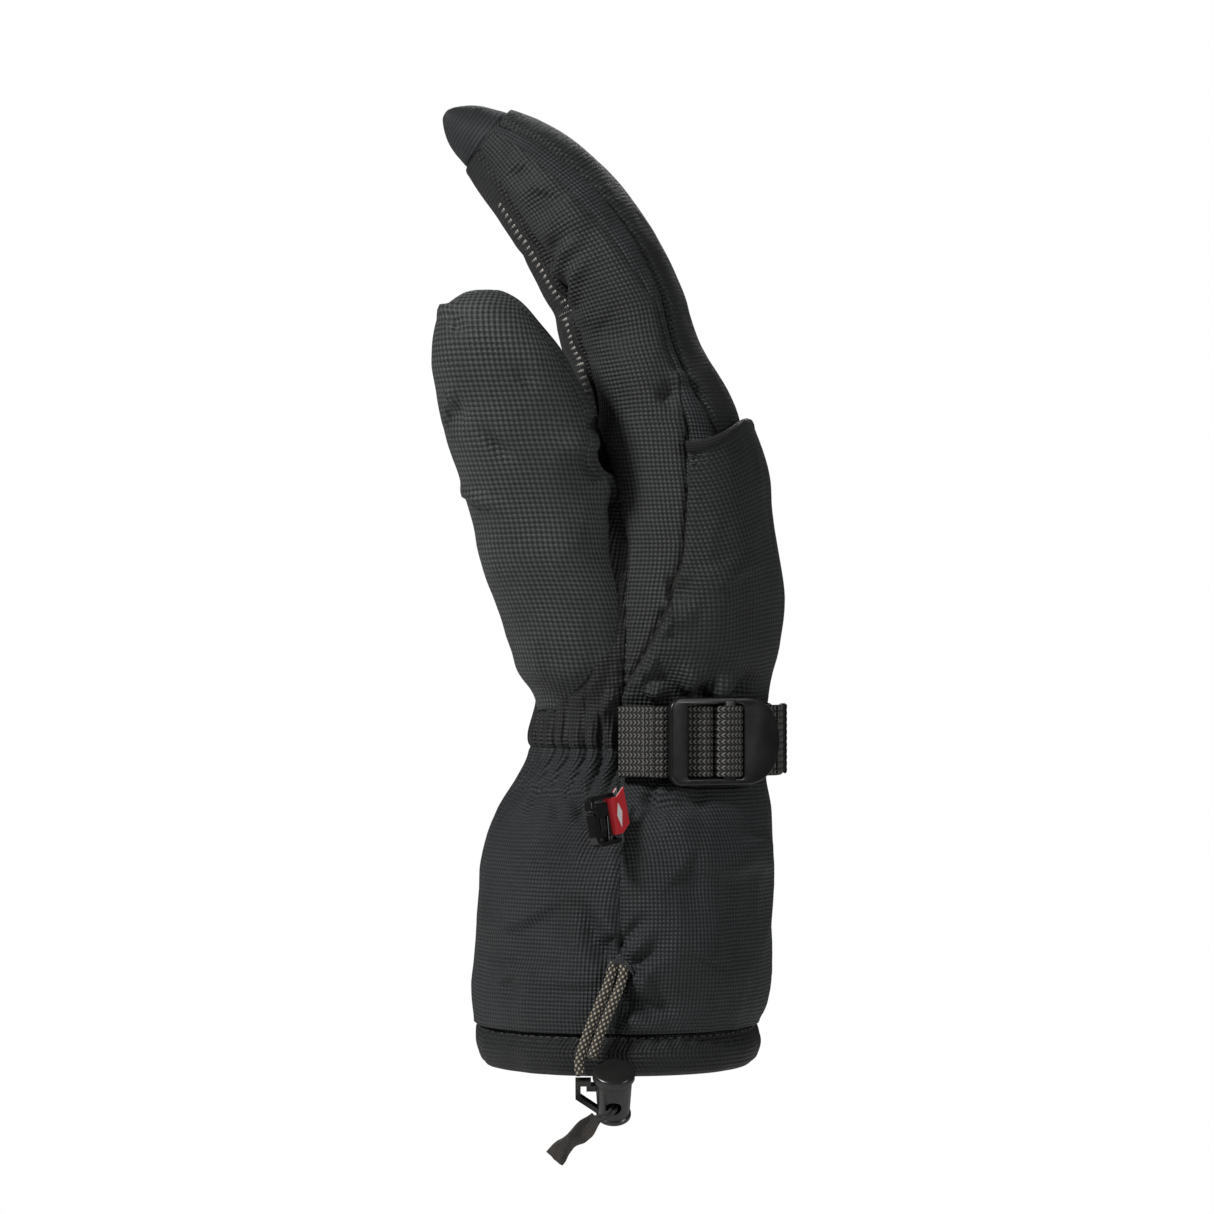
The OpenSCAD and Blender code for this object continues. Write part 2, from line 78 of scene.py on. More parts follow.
# Stations of the mitten: centre x, centre z, lean, half depth, half width, squareness, tip shift
BODY = np.array([
    [0.5, 0, 0, 49.5, 60, 2.3, 0], [0.5, 8, 0, 50.5, 60.5, 2.3, 0],
    [-0.3, 15, 0, 50, 59.5, 2.3, 0], [0.8, 23, 0, 51.8, 60, 2.3, 0],
    [1.8, 38, 0, 52.2, 60, 2.3, 0], [2.4, 52, 0, 52.2, 60, 2.3, 0],
    [3.2, 66, 0, 51.8, 59, 2.3, 0], [4.8, 80, 0, 50.6, 56, 2.3, 0],
    [6.8, 92, 0, 47.8, 50, 2.25, 0], [8.6, 101, 0, 44.1, 43.5, 2.2, 0],
    [10.8, 109, 0, 41.2, 40.5, 2.2, 0], [10.8, 117, 0, 41.2, 40, 2.2, 0],
    [11.3, 124, 0, 41, 40, 2.2, 0], [12.4, 131, 0, 40.3, 41.5, 2.25, 0],
    [13.9, 139, 0, 39.4, 44.5, 2.35, 0], [17, 152, 0, 39, 48.5, 2.5, 0],
    [20.1, 167, 0, 37.1, 51, 2.6, 0], [21.4, 181, 0, 34.8, 52.5, 2.6, 0],
    [21.3, 196, 0, 32.3, 53, 2.6, 0], [20.9, 210, 0, 29.9, 53, 2.6, 0],
    [19.2, 224, 0, 26.4, 52.5, 2.6, 0], [15, 236, 2.3, 25.2, 51.5, 2.6, 0],
    [5.5, 253, 7.3, 23.7, 50.5, 2.6, 0], [0, 270.5, 14, 22.7, 49.5, 2.6, 0],
    [-7.8, 287.5, 22, 22.5, 48, 2.5, 0], [-19.4, 304.6, 30, 21.5, 45, 2.4, 0.05],
    [-32.2, 319.6, 40, 18, 39, 2.3, 0.2], [-43, 328.7, 50, 14, 30, 2.2, 0.5],
    [-50.3, 333, 55, 11, 23, 2.2, 0.75], [-56.5, 337, 55, 7.5, 14, 2.1, 0.95],
    [-61, 340, 55, 2.5, 5, 2, 1], [-61.6, 340.5, 55, 0.05, 0.05, 2, 1],
])
# Stations of the thumb: centre x, y, z, half depth, half width, squareness, tip shift
THUMB = np.array([
    [-12, -12, 122, 17, 16, 2.3, 0], [-12.5, -16, 131, 19.5, 19.5, 2.3, 0],
    [-13.5, -20, 139, 21.5, 22, 2.3, 0], [-16, -25, 152, 23, 24, 2.4, 0],
    [-20, -30.5, 166, 23.5, 24.5, 2.4, 0], [-25, -35.5, 180, 23.5, 24.5, 2.4, 0],
    [-27, -40, 193, 24.5, 24, 2.4, 0], [-29.8, -43.8, 205, 24.6, 23.4, 2.4, 0],
    [-31.8, -46.4, 213, 24.7, 23, 2.4, 0], [-34.3, -49.5, 222, 24.7, 22.5, 2.4, 0],
    [-36.3, -53, 232, 24.8, 22, 2.4, 0], [-39.4, -57, 243, 23.9, 21.5, 2.4, 0.05],
    [-41.5, -59, 250, 22.2, 20.5, 2.3, 0.15], [-43.7, -60.5, 257, 19.5, 18.5, 2.2, 0.4],
    [-45.4, -61.5, 264, 15.5, 14.5, 2.1, 0.7], [-45.6, -61.8, 269, 10.5, 9.5, 2, 0.9],
    [-45.6, -61.8, 272, 4.5, 4, 2, 1], [-45.6, -61.8, 272.4, 0.05, 0.05, 2, 1],
])

# Seams down the thumb side, as (station, turn in degrees); the other side mirrors them
PALM_SEAM = [
    (0, 270), (4.4, 269.5), (7, 267.5), (8.4, 264), (9.4, 260), (11, 257.5), (13.4, 256.5),
    (15, 253), (16.1, 247), (17.3, 243), (17.8, 237), (19.1, 223), (20.4, 213), (21.5, 220),
    (22.6, 226.5), (24.4, 224), (26.2, 230), (27.3, 240), (30, 245),
]
BACK_SEAM = [
    (0, 270), (4.4, 269.5), (7, 267.5), (8.4, 264), (9.4, 260), (11, 257.5), (13.4, 257),
    (14, 260), (14.6, 264), (15.6, 268), (16.6, 270), (18.9, 273), (19.7, 274), (20.9, 280),
    (21.7, 292), (22.8, 297), (23.6, 288), (24.6, 282), (25.9, 275), (27.6, 279), (30, 279),
]
RIDGE_SEAM = [
    (0, 303), (20.2, 304), (21.1, 300), (21.8, 305), (22.9, 311), (24.5, 309),
    (25.7, 303), (26.8, 298), (28, 293),
]
# Stations where seams cross the mitten, and the pocket's edge at its sides and middle
GATHER_S = 10.5
GUSSET_S = 13.4
RIDGE_S = 18.6
BACK_S = 12.4
CAP_S = 27.3
TIP_S = 31.0
POCKET_EDGE_S = 19.72
POCKET_CENTRE_S = 20.35

# Folds: points in (x, z), half width, height over the fabric (a valley is negative)
CUFF_FOLDS = [
    ([(0, 43), (-3, 43), (-8, 50), (-13, 60), (-15, 65)], 3.2, -2.0),
    ([(-3, 47), (-6, 56), (-9, 64)], 3, 0.8),
    ([(1, 43), (5, 49), (10, 54), (14, 58)], 2.2, -1.5),
    ([(3, 43), (9, 49), (14, 53)], 3, 1.0),
    ([(6, 37), (11, 43), (17, 49), (22, 53)], 3.2, -1.0),
    ([(1, 40), (2, 34), (5, 27), (11, 24), (18, 24), (22, 27)], 2.8, -2.2),
    ([(2, 22), (6, 20), (13, 20), (19, 22)], 4, 1.2),
    ([(5, 36), (10, 32), (15, 30)], 6, 1.8),
    ([(-39, 32), (-37, 27), (-38, 22)], 2.5, -0.9),
    ([(-32, 56), (-29, 49), (-29, 35), (-33, 29)], 10, -1.2),
    ([(-16, 30), (-18, 40), (-24, 50)], 8, 0.8),
    ([(10, 100), (14, 95), (20, 93), (27, 94), (33, 98)], 2.8, -1.6),
    ([(14, 100), (21, 97), (29, 98)], 4, 1.3),
    ([(14, 89), (22, 88), (31, 91)], 4, 0.8),
    ([(-25, 100), (-27, 94), (-29, 88)], 1.6, -1.1),
    ([(-29, 100), (-31, 93), (-33, 84)], 1.6, -1.2),
    ([(-33, 101), (-37, 93), (-40, 84)], 1.6, -1.2),
    ([(-21, 99), (-21, 93), (-20, 86)], 1.8, -1.0),
    ([(-16, 99), (-14, 93), (-10, 85)], 2, -1.1),
    ([(43, 73), (43, 61), (41, 44), (37, 32)], 7, -1.5),
    ([(49, 84), (50, 67), (49, 40)], 6, 1),
    ([(-6, 77), (6, 72), (17, 69)], 6, 0.7),
    ([(20, 73), (27, 67), (37, 65)], 6, -0.9),
    ([(30, 40), (34, 50), (36, 60)], 5, 0.8),
]
HAND_FOLDS = [
    ([(-21, 180), (-21, 185)], 8, 1),
    ([(-19, 172), (-15, 170)], 8, -1.2),
    ([(-28, 163), (-23, 158)], 8, -1),
    ([(-12, 158), (-8, 152)], 6, 0.8),
    ([(15, 156), (18, 155)], 1.8, 0.9),
    ([(10, 145), (13, 144)], 1.8, 0.9),
    ([(18, 166), (23, 167), (28, 166)], 4.5, -1.6),
    ([(17, 161), (23, 162), (29, 161)], 4, 1.5),
    ([(23, 134), (27, 139), (33, 142)], 2.6, 1.6),
    ([(25, 132), (30, 137), (35, 140)], 2, -1.5),
    ([(30, 132), (37, 137), (44, 143)], 2.8, 1.5),
    ([(39, 132), (43, 138), (47, 144)], 2, -1.5),
    ([(10, 132), (13, 134), (17, 132)], 2.6, 1.2),
    ([(8, 136), (13, 138), (19, 137)], 2, -1),
    ([(0, 134), (-5, 126), (-2, 117)], 2.2, 1.3),
    ([(40, 174), (44, 161), (46, 148)], 6, -1),
    ([(34, 180), (38, 168), (38, 154)], 5, 0.8),
]
FINGER_FOLDS = [
    ([(-23, 278), (-20, 286), (-13, 292), (-8, 294)], 2.4, 1.5),
    ([(-25, 282), (-22, 289), (-16, 296)], 2.4, -1.2),
    ([(-16, 266), (-16, 277), (-11, 284), (-6, 287)], 2.2, 1.4),
    ([(-19, 264), (-20, 273), (-16, 281)], 2, -1.4),
    ([(-25, 310), (-26, 303), (-28, 294)], 4.5, -1.2),
    ([(-20, 305), (-13, 298), (-9, 294)], 4, 1),
    ([(15, 235), (19, 239), (20, 246)], 2, -1.4),
    ([(22, 247), (23, 240)], 2.4, 0.9),
    ([(-16, 263), (-9, 266), (-3, 268)], 3.6, 0.8),
    ([(-6, 262), (0, 258), (4, 250)], 4, -0.8),
    ([(-36, 318), (-33, 314), (-32, 308)], 3, -1),
]
THUMB_FOLDS = [
    ([(-57, 259), (-53, 262)], 2.4, -0.9),
    ([(-59, 266), (-58, 262)], 3, 0.9),
    ([(-59, 231), (-54, 230), (-49, 232)], 3.6, -1.1),
    ([(-58, 235), (-53, 235)], 3, 0.8),
    ([(-43, 218), (-39, 222)], 5, -0.9),
    ([(-13, 226), (-8, 226)], 1.6, -1.3),
    ([(-12, 218), (-8, 208)], 2.2, -1.4),
    ([(-8, 209), (-4, 204), (-3, 196)], 2.2, 1.3),
    ([(-50, 200), (-48, 205)], 5, 0.9),
    ([(-34, 240), (-28, 247)], 5, -0.6),
    ([(-15, 214), (-12, 224), (-12, 232), (-15, 242)], 5, 1.1),
]
# Bending creases across the palm: height, width and depth
PALM_CREASES = [(152, 4, 0.9), (250, 3, 0.8), (268, 3.5, 1.0), (289, 3, 0.8)]

# ---------------------------------------------------------------- camera and light


def linked(name, data):
    """A new object that holds the data, in the scene."""
    made = bpy.data.objects.new(name, data)
    bpy.context.scene.collection.objects.link(made)
    return made


def set_camera():
    """A level camera on the thumb side, at the mitten's middle height."""
    data = bpy.data.cameras.new("camera")
    data.lens = 131.8
    data.sensor_width = 36
    data.clip_end = 20
    camera = linked("camera", data)
    camera.location = (-0.0036, -1.6, 0.1631)
    camera.rotation_euler = (math.pi / 2, 0, 0)
    bpy.context.scene.camera = camera


def area_light(name, place, target, size, power):
    """A round soft lamp that faces its target."""
    data = bpy.data.lights.new(name, "AREA")
    data.shape = "DISK"
    data.size = size
    data.energy = power
    lamp = linked(name, data)
    lamp.location = place
    lamp.rotation_euler = (Vector(target) - Vector(place)).to_track_quat("-Z", "Y").to_euler()


def set_light():
    """A surround that looks white and lights faintly, a lamp from the left and two weaker ones."""
    world = bpy.data.worlds.new("surround")
    world.use_nodes = True
    tree = world.node_tree
    tree.nodes.clear()
    seen = tree.nodes.new("ShaderNodeBackground")
    seen.inputs["Color"].default_value = (1, 1, 1, 1)
    lit = tree.nodes.new("ShaderNodeBackground")
    lit.inputs["Color"].default_value = (0.94, 0.97, 1, 1)
    lit.inputs["Strength"].default_value = 0.085
    path = tree.nodes.new("ShaderNodeLightPath")
    mix = tree.nodes.new("ShaderNodeMixShader")
    out = tree.nodes.new("ShaderNodeOutputWorld")
    tree.links.new(path.outputs["Is Camera Ray"], mix.inputs[0])
    tree.links.new(lit.outputs[0], mix.inputs[1])
    tree.links.new(seen.outputs[0], mix.inputs[2])
    tree.links.new(mix.outputs[0], out.inputs[0])
    bpy.context.scene.world = world
    bpy.context.scene.view_settings.view_transform = "Standard"
    middle = (0, 0, 0.17)
    area_light("key", (-1.2, -1.05, 1.35), middle, 0.3, 38)
    area_light("fill", (1.4, -1.1, 0.7), middle, 0.6, 8)
    area_light("rim", (0.1, 1.6, 0.9), middle, 0.8, 7)


# ---------------------------------------------------------------- noise and folds


def smooth(value, low=0.0, high=1.0):
    """0 below low, 1 above high, and a soft step between."""
    t = np.clip((np.asarray(value, float) - low) / (high - low), 0, 1)
    return t * t * (3 - 2 * t)


def noise(points, size, seed):
    """Smooth noise from -1 to 1, with lumps about size across."""
    count = 32
    lattice = np.random.default_rng(seed).uniform(-1, 1, (count, count, count))
    place = np.asarray(points, float) / size + 200
    cell = np.floor(place).astype(int)
    t = place - cell
    t = t * t * (3 - 2 * t)
    total = np.zeros(place.shape[:-1])
    for corner in range(8):
        step = [(corner >> axis) & 1 for axis in range(3)]
        share = np.ones(place.shape[:-1])
        for axis in range(3):
            share = share * (t[..., axis] if step[axis] else 1 - t[..., axis])
        index = tuple((cell[..., axis] + step[axis]) % count for axis in range(3))
        total = total + share * lattice[index]
    return total


def folds(x, z, lines):
    """Height of ridges and valleys drawn along lines in (x, z); each one fades out at both ends."""
    height = np.zeros_like(x)
    for points, width, size in lines:
        route = np.array(points, float)
        steps = np.linalg.norm(np.diff(route, axis=0), axis=1)
        starts = np.concatenate([[0], np.cumsum(steps)])
        nearest = np.full_like(x, 1e6)
        along = np.zeros_like(x)
        for (x0, z0), (x1, z1), start, step in zip(route, route[1:], starts, steps):
            t = np.clip(((x - x0) * (x1 - x0) + (z - z0) * (z1 - z0)) / step**2, 0, 1)
            distance = np.hypot(x - x0 - t * (x1 - x0), z - z0 - t * (z1 - z0))
            along = np.where(distance < nearest, start + t * step, along)
            nearest = np.minimum(nearest, distance)
        share = along / starts[-1]
        fade = smooth(share, 0.0, 0.14) * smooth(1 - share, 0.0, 0.6)
        height = height + size * fade * np.exp(-((nearest / (width * FOLD_SPREAD)) ** 2))
    return height


# ---------------------------------------------------------------- the two lofted surfaces


def station(table, s):
    """A station table's values at fractional indices, on a smooth curve through the stations."""
    s = np.clip(np.asarray(s, float), 0, len(table) - 1.000001)
    i = np.floor(s).astype(int)
    t = (s - i)[..., None]
    row = [table[np.clip(i + k, 0, len(table) - 1)] for k in (-1, 0, 1, 2)]
    return 0.5 * (
        2 * row[1] + (row[2] - row[0]) * t
        + (2 * row[0] - 5 * row[1] + 4 * row[2] - row[3]) * t**2
        + (3 * row[1] - row[0] - 3 * row[2] + row[3]) * t**3
    )


def section(radius_x, radius_y, squareness, turn):
    """A rounded section's x and y at a turn in degrees."""
    c, w = np.cos(np.radians(turn)), np.sin(np.radians(turn))
    power = 2 / squareness
    return radius_x * np.sign(c) * np.abs(c) ** power, radius_y * np.sign(w) * np.abs(w) ** power


def inset(radius, depth):
    """The radius depth further in, and less so near the tips, where the radius shrinks to nothing."""
    return radius - depth * np.minimum(1, radius / 14)


def body(s, turn, depth=0.0):
    """A point of the mitten, depth below its outer face."""
    q = np.moveaxis(station(BODY, s), -1, 0)
    x, y = section(inset(q[3], depth), inset(q[4], depth), q[5], turn)
    rise = -depth * q[6]
    lean = np.radians(q[2])
    return np.stack([
        q[0] + x * np.cos(lean) - rise * np.sin(lean), y,
        q[1] + x * np.sin(lean) + rise * np.cos(lean),
    ], -1)


def thumb(s, turn, depth=0.0):
    """A point of the thumb, depth below its outer face."""
    q = np.moveaxis(station(THUMB, s), -1, 0)
    x, y = section(inset(q[3], depth), inset(q[4], depth), q[5], turn)
    return np.stack([q[0] + x, q[1] + y, q[2] - depth * q[6]], -1)


def body_s(z):
    """Station index where the mitten's centre line passes a height."""
    return float(np.interp(z, BODY[:, 1], np.arange(len(BODY))))


def thumb_s(z):
    """Station index where the thumb's centre line passes a height."""
    return float(np.interp(z, THUMB[:, 2], np.arange(len(THUMB))))


def outward(surface, s, turn):
    """Unit normals of a surface."""
    end = TIP_S if surface is body else len(THUMB) - 1
    low, high = np.clip(s - 0.02, 0, end - 0.01), np.clip(s + 0.02, 0.01, end)
    across = surface(s, turn + 0.6) - surface(s, turn - 0.6)
    along = surface(high, turn) - surface(low, turn)
    normal = np.cross(across, along)
    size = np.linalg.norm(normal, axis=-1, keepdims=True)
    tip = np.array([-0.8, 0, 0.6]) if surface is body else np.array([0, 0, 1.0])
    return np.where(size > 1e-4, normal / np.maximum(size, 1e-9), tip)


def gap_to(surface, points):
    """Rough distance from points to the mitten or the thumb, negative inside, from level sections."""
    z = points[..., 2]
    if surface is body:
        q = station(BODY, np.interp(z, BODY[:, 1], np.arange(len(BODY))))
        centre_y, low, high = 0.0, 0.0, 230.0
    else:
        q = station(THUMB, np.interp(z, THUMB[:, 2], np.arange(len(THUMB))))
        centre_y, low, high = q[..., 1], 122.0, 272.0
    half_x, half_y, squareness = q[..., 3], q[..., 4], q[..., 5]
    x = np.abs(points[..., 0] - q[..., 0]) / half_x
    y = np.abs(points[..., 1] - centre_y) / half_y
    ratio = (x**squareness + y**squareness) ** (1 / squareness)
    gap = (ratio - 1) * np.minimum(half_x, half_y)
    beyond = np.maximum(low - z, z - high)
    return np.where(beyond > 0, np.maximum(gap, beyond), gap)


def filleted(gap):
    """How far a surface swells where another meets it, so that the two join softly."""
    share = np.clip(1 - np.abs(gap) / FILLET_REACH, 0, 1)
    return FILLET_REACH / 4 * share**2


# Turns spaced evenly along a typical section of the mitten
REFERENCE_TURN = np.linspace(0, 360, 3601)
REFERENCE_LINE = np.stack(section(40, 50, 2.4, REFERENCE_TURN), -1)
REFERENCE_STEP = np.linalg.norm(np.diff(REFERENCE_LINE, axis=0), axis=1)
REFERENCE_SHARE = np.concatenate([[0], np.cumsum(REFERENCE_STEP)]) / REFERENCE_STEP.sum()


def share_of(turn):
    """Share of the way round at a turn; it goes on past 1 after a full turn."""
    turn = np.asarray(turn, float)
    return np.floor(turn / 360) + np.interp(turn % 360, REFERENCE_TURN, REFERENCE_SHARE)


def turn_of(share):
    """The turn at a share of the way round."""
    return 360 * np.floor(share) + np.interp(share % 1, REFERENCE_SHARE, REFERENCE_TURN)


def seam(line, mirrored=False):
    """A seam as a function from station to turn."""
    at, turn = zip(*line)
    if mirrored:
        return lambda s: 360 - np.interp(s, at, turn)
    return lambda s: np.interp(s, at, turn)


def shifted(edge):
    """The same edge one full turn on."""
    return lambda s: edge(s) + 360


palm_seam, far_palm_seam = seam(PALM_SEAM), seam(PALM_SEAM, True)
back_seam, far_back_seam = seam(BACK_SEAM), seam(BACK_SEAM, True)
ridge_seam, far_ridge_seam = seam(RIDGE_SEAM), seam(RIDGE_SEAM, True)

# ---------------------------------------------------------------- relief of the fabric


def gathers(turn, z):
    """Shirring on the palm side of the wrist, pulled in by a row of stitches."""
    around = share_of(turn) * WRIST_GIRTH
    wander = 1.1 * np.interp(z, [80, 95, 113, 130, 145], [0.9, 0.2, 0, 0.5, -0.4])
    phase = (around + wander) / GATHER_PITCH + 0.18 * np.sin(around / 17)
    fold = np.floor(phase).astype(int) % 96
    random = np.random.default_rng(5).uniform(0, 1, (3, 96))
    above = 8 + 9 * random[0][fold]
    below = 9 + 13 * random[1][fold]
    reach = np.where(z > WRIST_LINE, above, below)
    ridge = np.abs(np.sin(np.pi * phase)) ** 0.6 - 0.85
    height = (2.6 + 2.6 * random[2][fold]) * ridge * np.exp(-(((z - WRIST_LINE) / reach) ** 2))
    turn = turn % 360
    palm = smooth(turn, 92, 108) * (1 - smooth(turn, 255, 261))
    puff = 0.4 * np.exp(-(((np.abs(z - WRIST_LINE) - 5) / 4) ** 2))
    line = -0.7 * np.exp(-(((z - WRIST_LINE) / 1.0) ** 2))
    return palm * (height + puff + line) + (1 - palm) * 0.18 * height


def body_relief(points, turn):
    """How far the mitten's fabric stands over its plain form."""
    x, y, z = np.moveaxis(points, -1, 0)
    drift = np.stack([noise(points, 11, 21), noise(points, 11, 22)], -1) * 1.6
    lines = CUFF_FOLDS + HAND_FOLDS + FINGER_FOLDS
    near = smooth(-y, 0, 22)
    far = smooth(y, 0, 22)
    height = FOLD_GAIN * near * folds(x + drift[..., 0], z + drift[..., 1], lines)
    height = height + 0.8 * far * folds(x + 3 + 2 * drift[..., 0], z - 5 + 2 * drift[..., 1], lines)
    loose = np.interp(z, [0, 60, 100, 130, 200, 260, 330], [1.0, 1.0, 0.5, 0.9, 0.7, 0.8, 0.4])
    height = height + loose * (1.1 * noise(points, 27, 1) + 0.45 * noise(points, 12, 2))
    stretched = points * np.array([1, 1, 0.45])
    crease = 1 - 2 * np.abs(noise(stretched, 9, 3))
    height = height + 0.45 * loose * crease
    inner = smooth(-x + np.interp(z, BODY[:, 1], BODY[:, 0]), 5, 20)
    for level, width, depth in PALM_CREASES:
        bend = z - level - 2.5 * noise(points, 20, 7)
        height = height - inner * depth * np.exp(-((bend / width) ** 2))
    flatter = smooth(z, 236, 250) * (1 - smooth(z, 300, 318))
    height = height + inner * (3.4 * np.exp(-(((z - 224) / 10) ** 2)) - 1.5 * flatter)
    return height + gathers(turn, z)


def thumb_relief(points):
    """How far the thumb's fabric stands over its plain form."""
    x, y, z = np.moveaxis(points, -1, 0)
    drift = np.stack([noise(points, 10, 31), noise(points, 10, 32)], -1) * 1.4
    near = smooth(-y, 15, 40)
    height = FOLD_GAIN * near * folds(x + drift[..., 0], z + drift[..., 1], THUMB_FOLDS)
    height = height + 0.8 * noise(points, 24, 33) + 0.35 * noise(points, 10, 34)
    return height + 0.2 * (1 - 2 * np.abs(noise(points * np.array([1, 1, 0.5]), 8, 35)))


# ---------------------------------------------------------------- meshes


def new_mesh(name, points, faces, material):
    """A smooth-shaded mesh from points in millimetres."""
    mesh = bpy.data.meshes.new(name)
    mesh.from_pydata((np.asarray(points) * MM).tolist(), [], faces)
    mesh.polygons.foreach_set("use_smooth", [True] * len(mesh.polygons))
    mesh.materials.append(material)
    return mesh


def make_object(name, points, faces, material, uv=None, weld=False):
    """A smooth-shaded object from points in millimetres, with its flat-cloth chart if it has one."""
    mesh = new_mesh(name, points, np.asarray(faces).tolist(), material)
    if uv is not None:
        layer = mesh.uv_layers.new(name="Cloth")
        index = np.zeros(len(mesh.loops), int)
        mesh.loops.foreach_get("vertex_index", index)
        layer.data.foreach_set("uv", np.asarray(uv, np.float32)[index].ravel())
    piece = linked(name, mesh)
    if weld:
        weld_points(mesh)
    mesh.validate()
    mesh.update()
    return piece


def weld_points(mesh):
    """Joins points that share a place."""
    work = bmesh.new()
    work.from_mesh(mesh)
    bmesh.ops.remove_doubles(work, verts=work.verts, dist=2e-6)
    bmesh.ops.dissolve_degenerate(work, dist=1e-7, edges=work.edges)
    work.to_mesh(mesh)
    work.free()


def grid_faces(rows, columns, wrap_rows=False):
    """The four-sided faces of a grid of points."""
    count = rows if wrap_rows else rows - 1
    r, c = np.meshgrid(np.arange(count), np.arange(columns - 1), indexing="ij")
    r2 = (r + 1) % rows
    return np.stack([
        r * columns + c, r * columns + c + 1, r2 * columns + c + 1, r2 * columns + c,
    ], -1).reshape(-1, 4)


def ring_faces(rings, sides, closed=False):
    """The four-sided faces between rings of points that follow each other."""
    i, j = np.meshgrid(np.arange(rings if closed else rings - 1), np.arange(sides), indexing="ij")
    k, up = (j + 1) % sides, (i + 1) % rings
    return np.stack([i * sides + j, i * sides + k, up * sides + k, up * sides + j], -1).reshape(-1, 4)


def thicken(points, faces, normals, depth):
    """The faces as a closed sheet of that thickness, inwards from the points."""
    used = np.unique(faces)
    renumber = np.zeros(len(points), int)
    renumber[used] = np.arange(len(used))
    faces = renumber[faces]
    count = len(used)
    outer = points[used]
    inner = outer - normals[used] * np.reshape(depth, (-1, 1))
    start = faces.ravel()
    end = np.roll(faces, -1, axis=1).ravel()
    free = ~np.isin(start * count + end, end * count + start)
    a, b = start[free], end[free]
    walls = np.stack([b, a, a + count, b + count], -1)
    return np.vstack([outer, inner]), np.vstack([faces, faces[:, ::-1] + count, walls]), used


def cloth_sheet(name, points, faces, normals, depth, uv, material, weld=True):
    """A closed sheet that carries the same flat-cloth chart on both of its faces."""
    solid, quads, used = thicken(points.reshape(-1, 3), faces, normals.reshape(-1, 3), depth)
    chart = uv.reshape(-1, 2)[used]
    return make_object(name, solid, quads, material, np.vstack([chart, chart]), weld=weld)


def beads(name, stacks, sides, material, inverted=False):
    """Many small closed shapes in one piece; each is a stack of rings (centre, radius, two axes)."""
    points, faces = [], []
    for stack in stacks:
        base = len(points)
        for centre, radius, first, second in stack:
            for j in range(sides):
                a = 2 * math.pi * j / sides
                points.append(centre + radius * (math.cos(a) * first + math.sin(a) * second))
        quads = base + ring_faces(len(stack), sides)
        faces += (quads[:, [0, 3, 2, 1]] if inverted else quads).tolist()
        start = list(range(base, base + sides))
        end = list(range(len(points) - sides, len(points)))
        faces += [start, end[::-1]] if inverted else [start[::-1], end]
    return linked(name, new_mesh(name, points, faces, material))


def even_rows(surface, s0, s1, turn, step):
    """Stations from s0 to s1, spaced evenly along the surface."""
    fine = np.linspace(s0, s1, 400)
    line = surface(fine, np.full(400, float(turn)))
    length = np.concatenate([[0], np.cumsum(np.linalg.norm(np.diff(line, axis=0), axis=1))])
    count = max(3, int(round(length[-1] / step)) + 1)
    return np.interp(np.linspace(0, length[-1], count), length, fine)


def closer(count):
    """Shares from 0 to 1, closer together at both ends."""
    t = np.linspace(0, 1, count + 1)
    return t - BODY_EDGE_CLOSENESS * np.sin(2 * np.pi * t) / (2 * np.pi)


def unit(vectors):
    """The vectors at length 1."""
    return vectors / np.linalg.norm(vectors, axis=-1, keepdims=True)


def point_at(run, line, length):
    """The point of a line at a length along it, where run is the length at each of its points."""
    return np.array([np.interp(length, run, line[:, k]) for k in range(3)])


def run_of(points, axis):
    """Length along a grid's rows or columns, from its first point."""
    step = np.linalg.norm(np.diff(points, axis=axis), axis=-1)
    start = np.zeros_like(np.take(step, [0], axis=axis))
    return np.concatenate([start, np.cumsum(step, axis=axis)], axis=axis)


def edge_roll(distance, depth, width=1.5, crown=0.9):
    """A sewn edge: it rolls down into its seam, and the fabric swells beside it."""
    return crown * (1 - np.exp(-((distance / 9) ** 2))) - depth * np.exp(-((distance / width) ** 2))


def pucker(distance, height, size):
    """Small pleats that a seam's thread pulls into the fabric on both sides of it."""
    place = np.stack([height, np.zeros_like(height), np.zeros_like(height)], -1)
    wave = np.sin(2 * np.pi * height / 4.6 + 3 * noise(place, 11, 41))
    share = 0.35 + 0.65 * smooth(noise(place, 17, 43), -0.4, 0.5)
    return size * share * wave * np.exp(-((distance / 4.0) ** 2))


